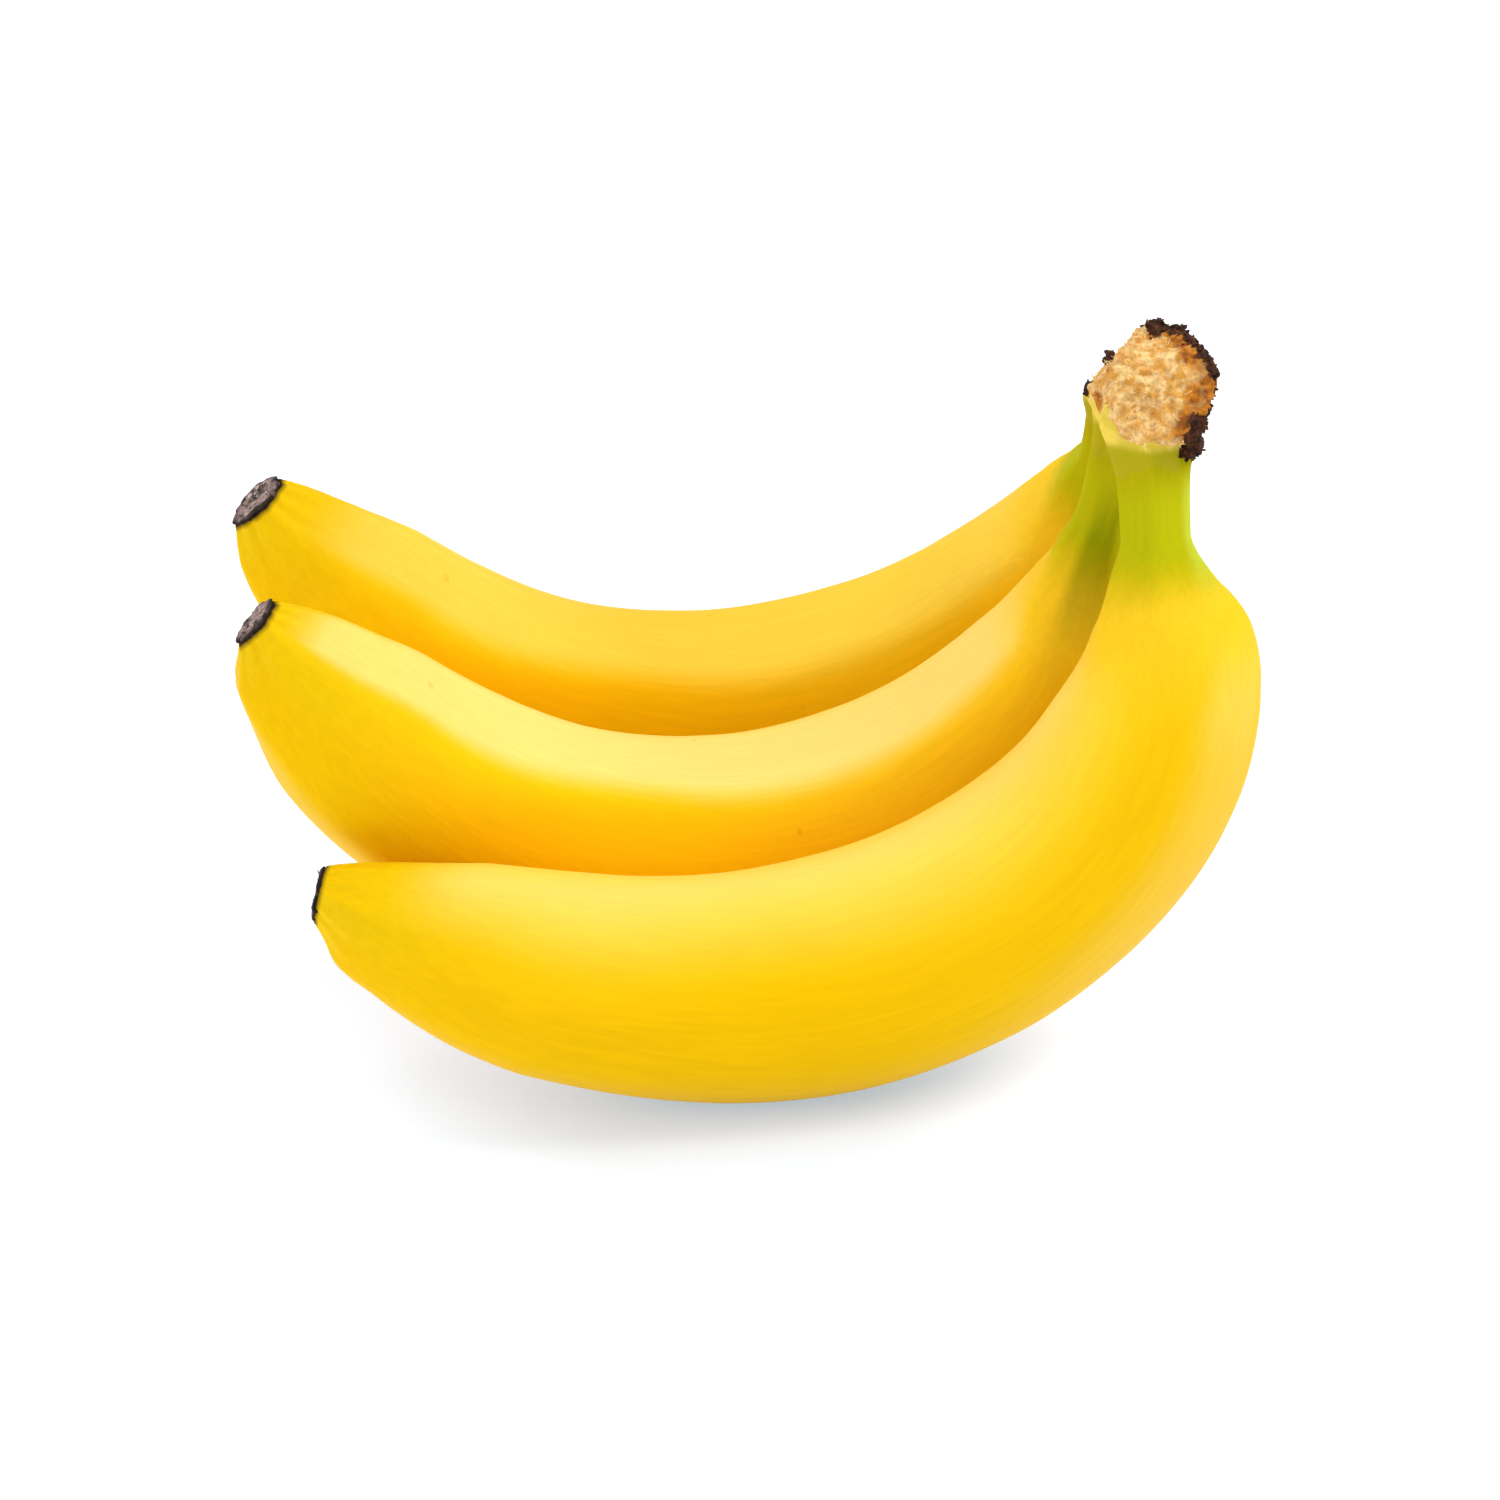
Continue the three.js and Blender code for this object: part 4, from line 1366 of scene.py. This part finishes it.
@dataclass(frozen=True)
class Tufts:
    """Short dry fibres, or flakes, that stand on the marked part of another piece."""

    name: str
    mark: str
    slot: Slot
    finish: str
    density: float  # how many stand on a square metre that is fully marked
    length: float
    width: float
    flatness: float = 1.0
    lean: float = 0.7
    point: float = 0.35  # width of the top as a share of the foot's
    sides: int = 5
    seed: int = 1

    SEGMENTS = 4
    BOW = 0.45  # how far the top is bent over, as a share of the length
    SUNK = -0.15  # how far the foot is over the ground, as a share of the length
    SIZES = (0.45, 1.25)  # share of the full size of the smallest and the largest

    def numbers(self) -> dict[str, float]:
        """The numbers that the tree is given."""
        names = ("density", "length", "width", "flatness", "lean", "seed")
        return {name.capitalize(): getattr(self, name) for name in names}

    def tree(self) -> NodeTree:
        """The geometry tree that plants the tufts."""
        graph = Graph.of_geometry(self.name, **self.numbers())
        given = graph.given
        length, seed, lean = given["Length"], given["Seed"], given["Lean"]
        stalk = graph.fill(
            graph.add("GeometryNodeMeshCone"), Vertices=self.sides, Side_Segments=self.SEGMENTS,
            Radius_Bottom=given["Width"], Radius_Top=graph.times(given["Width"], self.point), Depth=length,
        )
        split = graph.fill(graph.add("ShaderNodeSeparateXYZ"), graph.point())
        up = graph.math("DIVIDE", split.outputs[2], length)
        bent = graph.times(graph.times(up, up), graph.times(length, self.BOW))
        thinned = graph.times(split.outputs[1], graph.math("SUBTRACT", given["Flatness"], 1.0))
        bow = graph.vector(bent, thinned, graph.times(length, self.SUNK))
        blade = graph.fill(graph.add("GeometryNodeSetPosition"), Geometry=stalk.outputs["Mesh"], Offset=bow)
        plant = graph.fill(
            graph.add("GeometryNodeDistributePointsOnFaces", distribute_method="RANDOM"),
            Mesh=given["Geometry"], Density=graph.times(graph.named(self.mark), given["Density"]), Seed=seed,
        )
        back = graph.times(lean, -1.0)
        low, high = graph.vector(back, back, -math.pi), graph.vector(lean, lean, math.pi)
        tilt = graph.add("FunctionNodeRandomValue", data_type="FLOAT_VECTOR")
        graph.fill(tilt, low, high, Seed=seed)
        euler = graph.fill(graph.add("FunctionNodeEulerToRotation"), tilt.outputs[0])
        turn = graph.fill(
            graph.add("FunctionNodeRotateRotation", rotation_space="LOCAL"),
            Rotation=plant.outputs["Rotation"], Rotate_By=euler.outputs[0],
        )
        size = graph.fill(graph.add("FunctionNodeRandomValue", data_type="FLOAT"), Seed=seed)
        for socket, value in zip(size.inputs[2:4], self.SIZES):
            graph.feed(socket, value)
        stand = graph.fill(
            graph.add("GeometryNodeInstanceOnPoints"), Points=plant.outputs["Points"],
            Instance=blade.outputs[0], Rotation=turn.outputs[0], Scale=size.outputs[1],
        )
        return graph.finished(stand.outputs[0])

    def make(self, ground: Object, bench: Bench) -> Object:
        """The tufts that stand on this piece."""
        values = {**self.numbers(), "Finish": bench.materials[self.finish]}
        return complete(link(self.name, ground.data.copy()), self.tree(), values, self.slot)


CROWN_TUFTS = (
    Tufts(
        "crown_fibres", "fresh", Slot.CUT, "dry_fibre", density=0.45e6, length=1.0 * MM, width=0.11 * MM,
        lean=1.1,
    ),
    Tufts(
        "torn_rim", "char", Slot.CUT, "torn_skin", density=0.9e6, length=0.55 * MM, width=0.42 * MM,
        flatness=0.4, lean=1.4, point=0.7, sides=8, seed=4,
    ),
)
WITHERED = Tufts(
    "withered_flower", "bloom", Slot.DRIED, "withered_flower", density=1.0e6, length=0.5 * MM,
    width=0.14 * MM, lean=1.3,
)


# ---------------- studio


@dataclass(frozen=True)
class TableFinish(Finish):
    """A pale table top with painted light: it glows more the further it is from the bunch's contact, so that
    it goes white away from the bunch, and bluish near the contact against the yellow light that the bunch
    throws on it.
    """

    name: str = "lit_table"
    roughness: float = 0.9
    specular: float = 0.0
    tint: Colour = (0.68, 0.64, 0.57, 1.0)
    contact: Triple = (0.0, -0.05, 0.0)  # metres
    # colour and strength of the painted glow beside the contact, round it and far off
    glow_tints: tuple[Colour, ...] = ((0.4, 0.67, 1.0, 1.0), (0.55, 0.75, 1.0, 1.0), (1.0, 1.0, 1.0, 1.0))
    painted_glow: Triple = (0.49, 0.74, 1.0)
    glow_reach: tuple[Pair, Pair] = ((0.016, 0.058), (0.25, 0.8))  # metres over which they change

    def sockets(self, graph: Graph, effects: Effects) -> dict[str, object]:
        """A painted glow that changes with the distance from the contact."""
        measure = graph.add("ShaderNodeVectorMath", operation="DISTANCE")
        away = graph.fill(measure, graph.place(), self.contact).outputs["Value"]
        beside, around, far = self.painted_glow
        near, wide = self.glow_reach
        outside = graph.rise(away, *wide)
        tint = graph.blend(graph.rise(away, *near), *self.glow_tints[:2])
        growing = graph.rise(away, *near, beside, around)
        return {
            "Base Color": self.tint,
            "Emission Color": graph.blend(outside, tint, self.glow_tints[2]),
            "Emission Strength": graph.plus(growing, graph.times(outside, far - around)),
        }


@dataclass(frozen=True)
class Softbox:
    """A large rectangular light, with its place and target in metres."""

    name: str
    place: Triple
    size: Pair
    power: float  # watts
    target: Triple = (0.0, 0.0, 0.04)

    def light(self) -> None:
        """Adds the light to the scene."""
        data = bpy.data.lights.new(self.name, "AREA")
        data.shape = "RECTANGLE"
        data.size, data.size_y = self.size
        data.energy = self.power
        lamp = link(self.name, data)
        lamp.location = self.place
        lamp.rotation_euler = (Vector(self.target) - Vector(self.place)).to_track_quat("-Z", "Y").to_euler()


@dataclass(frozen=True)
class Studio:
    """A white table, soft light from above and the sides, and the camera."""

    shift: Array
    lens: float = 130.75  # mm
    sensor: float = 36.0  # mm
    distance: float = 800.0  # mm
    elevation: float = 30.0
    target: Triple = (0.0, 38.0, 45.0)  # mm, construction frame
    floor_size: float = 4.0  # metres
    surround: float = 0.02  # strength of the light from all round
    softboxes: tuple[Softbox, ...] = (
        Softbox("front_overhead", (0.0, -0.5, 1.0), (1.1, 0.8), 5.0),
        Softbox("back_overhead", (0.0, 0.6, 0.95), (1.1, 0.6), 6.3),
        Softbox("right_overhead", (0.7, 0.0, 0.9), (0.7, 0.7), 7.5),
        Softbox("left_fill", (-1.1, -0.3, 0.35), (0.7, 0.7), 5.3),
        Softbox("back_left_fill", (-0.9, 0.7, 0.5), (0.7, 0.7), 2.6),
        Softbox("front_left_fill", (-0.9, -0.8, 0.3), (0.7, 0.7), 2.0),
        Softbox("right_fill", (0.8, -0.8, 0.35), (0.7, 0.7), 3.3),
    )

    def floor(self, effects: Effects) -> None:
        """The pale table top, which isn't part of the bunch."""
        half = self.floor_size / 2
        corners = np.array([[-half, -half, 0], [half, -half, 0], [half, half, 0], [-half, half, 0]])
        table = new_piece("table_top", corners, [(0, 1, 2, 3)])
        table.data.materials.append(TableFinish().build(effects))

    def camera(self) -> None:
        """The camera, looking along +Y and down."""
        down = math.radians(self.elevation)
        back = np.array([0, -math.cos(down), math.sin(down)]) * self.distance * MM
        data = bpy.data.cameras.new("camera")
        data.sensor_width = self.sensor
        data.lens = self.lens
        eye = link("camera", data)
        eye.location = (np.array(self.target) + self.shift) * MM + back
        eye.rotation_euler = (math.pi / 2 - down, 0, 0)
        bpy.context.scene.camera = eye

    def surroundings(self) -> None:
        """Even white light from all round."""
        world = bpy.data.worlds.new("white_room")
        world.use_nodes = True
        background = world.node_tree.nodes["Background"]
        background.inputs["Color"].default_value = (1.0, 1.0, 1.0, 1.0)
        background.inputs["Strength"].default_value = self.surround
        bpy.context.scene.world = world

    def build(self, effects: Effects) -> None:
        """Sets up everything around the bunch."""
        self.camera()
        self.floor(effects)
        self.surroundings()
        for softbox in self.softboxes:
            softbox.light()
        bpy.context.scene.view_settings.view_transform = "Standard"


# ---------------- assembly


def main() -> None:
    """Builds the studio and every piece of the bunch."""
    logging.basicConfig(level=logging.INFO, format="%(name)s: %(message)s")
    shift = construction_shift()
    log.info("construction frame shifted by %s mm", np.round(shift, 3))
    effects = Effects()
    Studio(shift).build(effects)
    bench = Bench(shift, {finish.name: finish.build(effects) for finish in FINISHES})
    peel = Peel(bench)
    flower = FlowerEnd(bench)
    for finger in FINGERS:
        peel.make(finger)
        end = flower.make(finger)
        replace(WITHERED, name=f"{finger.name}_withered_flower", seed=int(finger.seed)).make(end, bench)
    cushion = Crown(bench).make()
    for tufts in CROWN_TUFTS:
        tufts.make(cushion, bench)


if __name__ == "__main__":
    main()
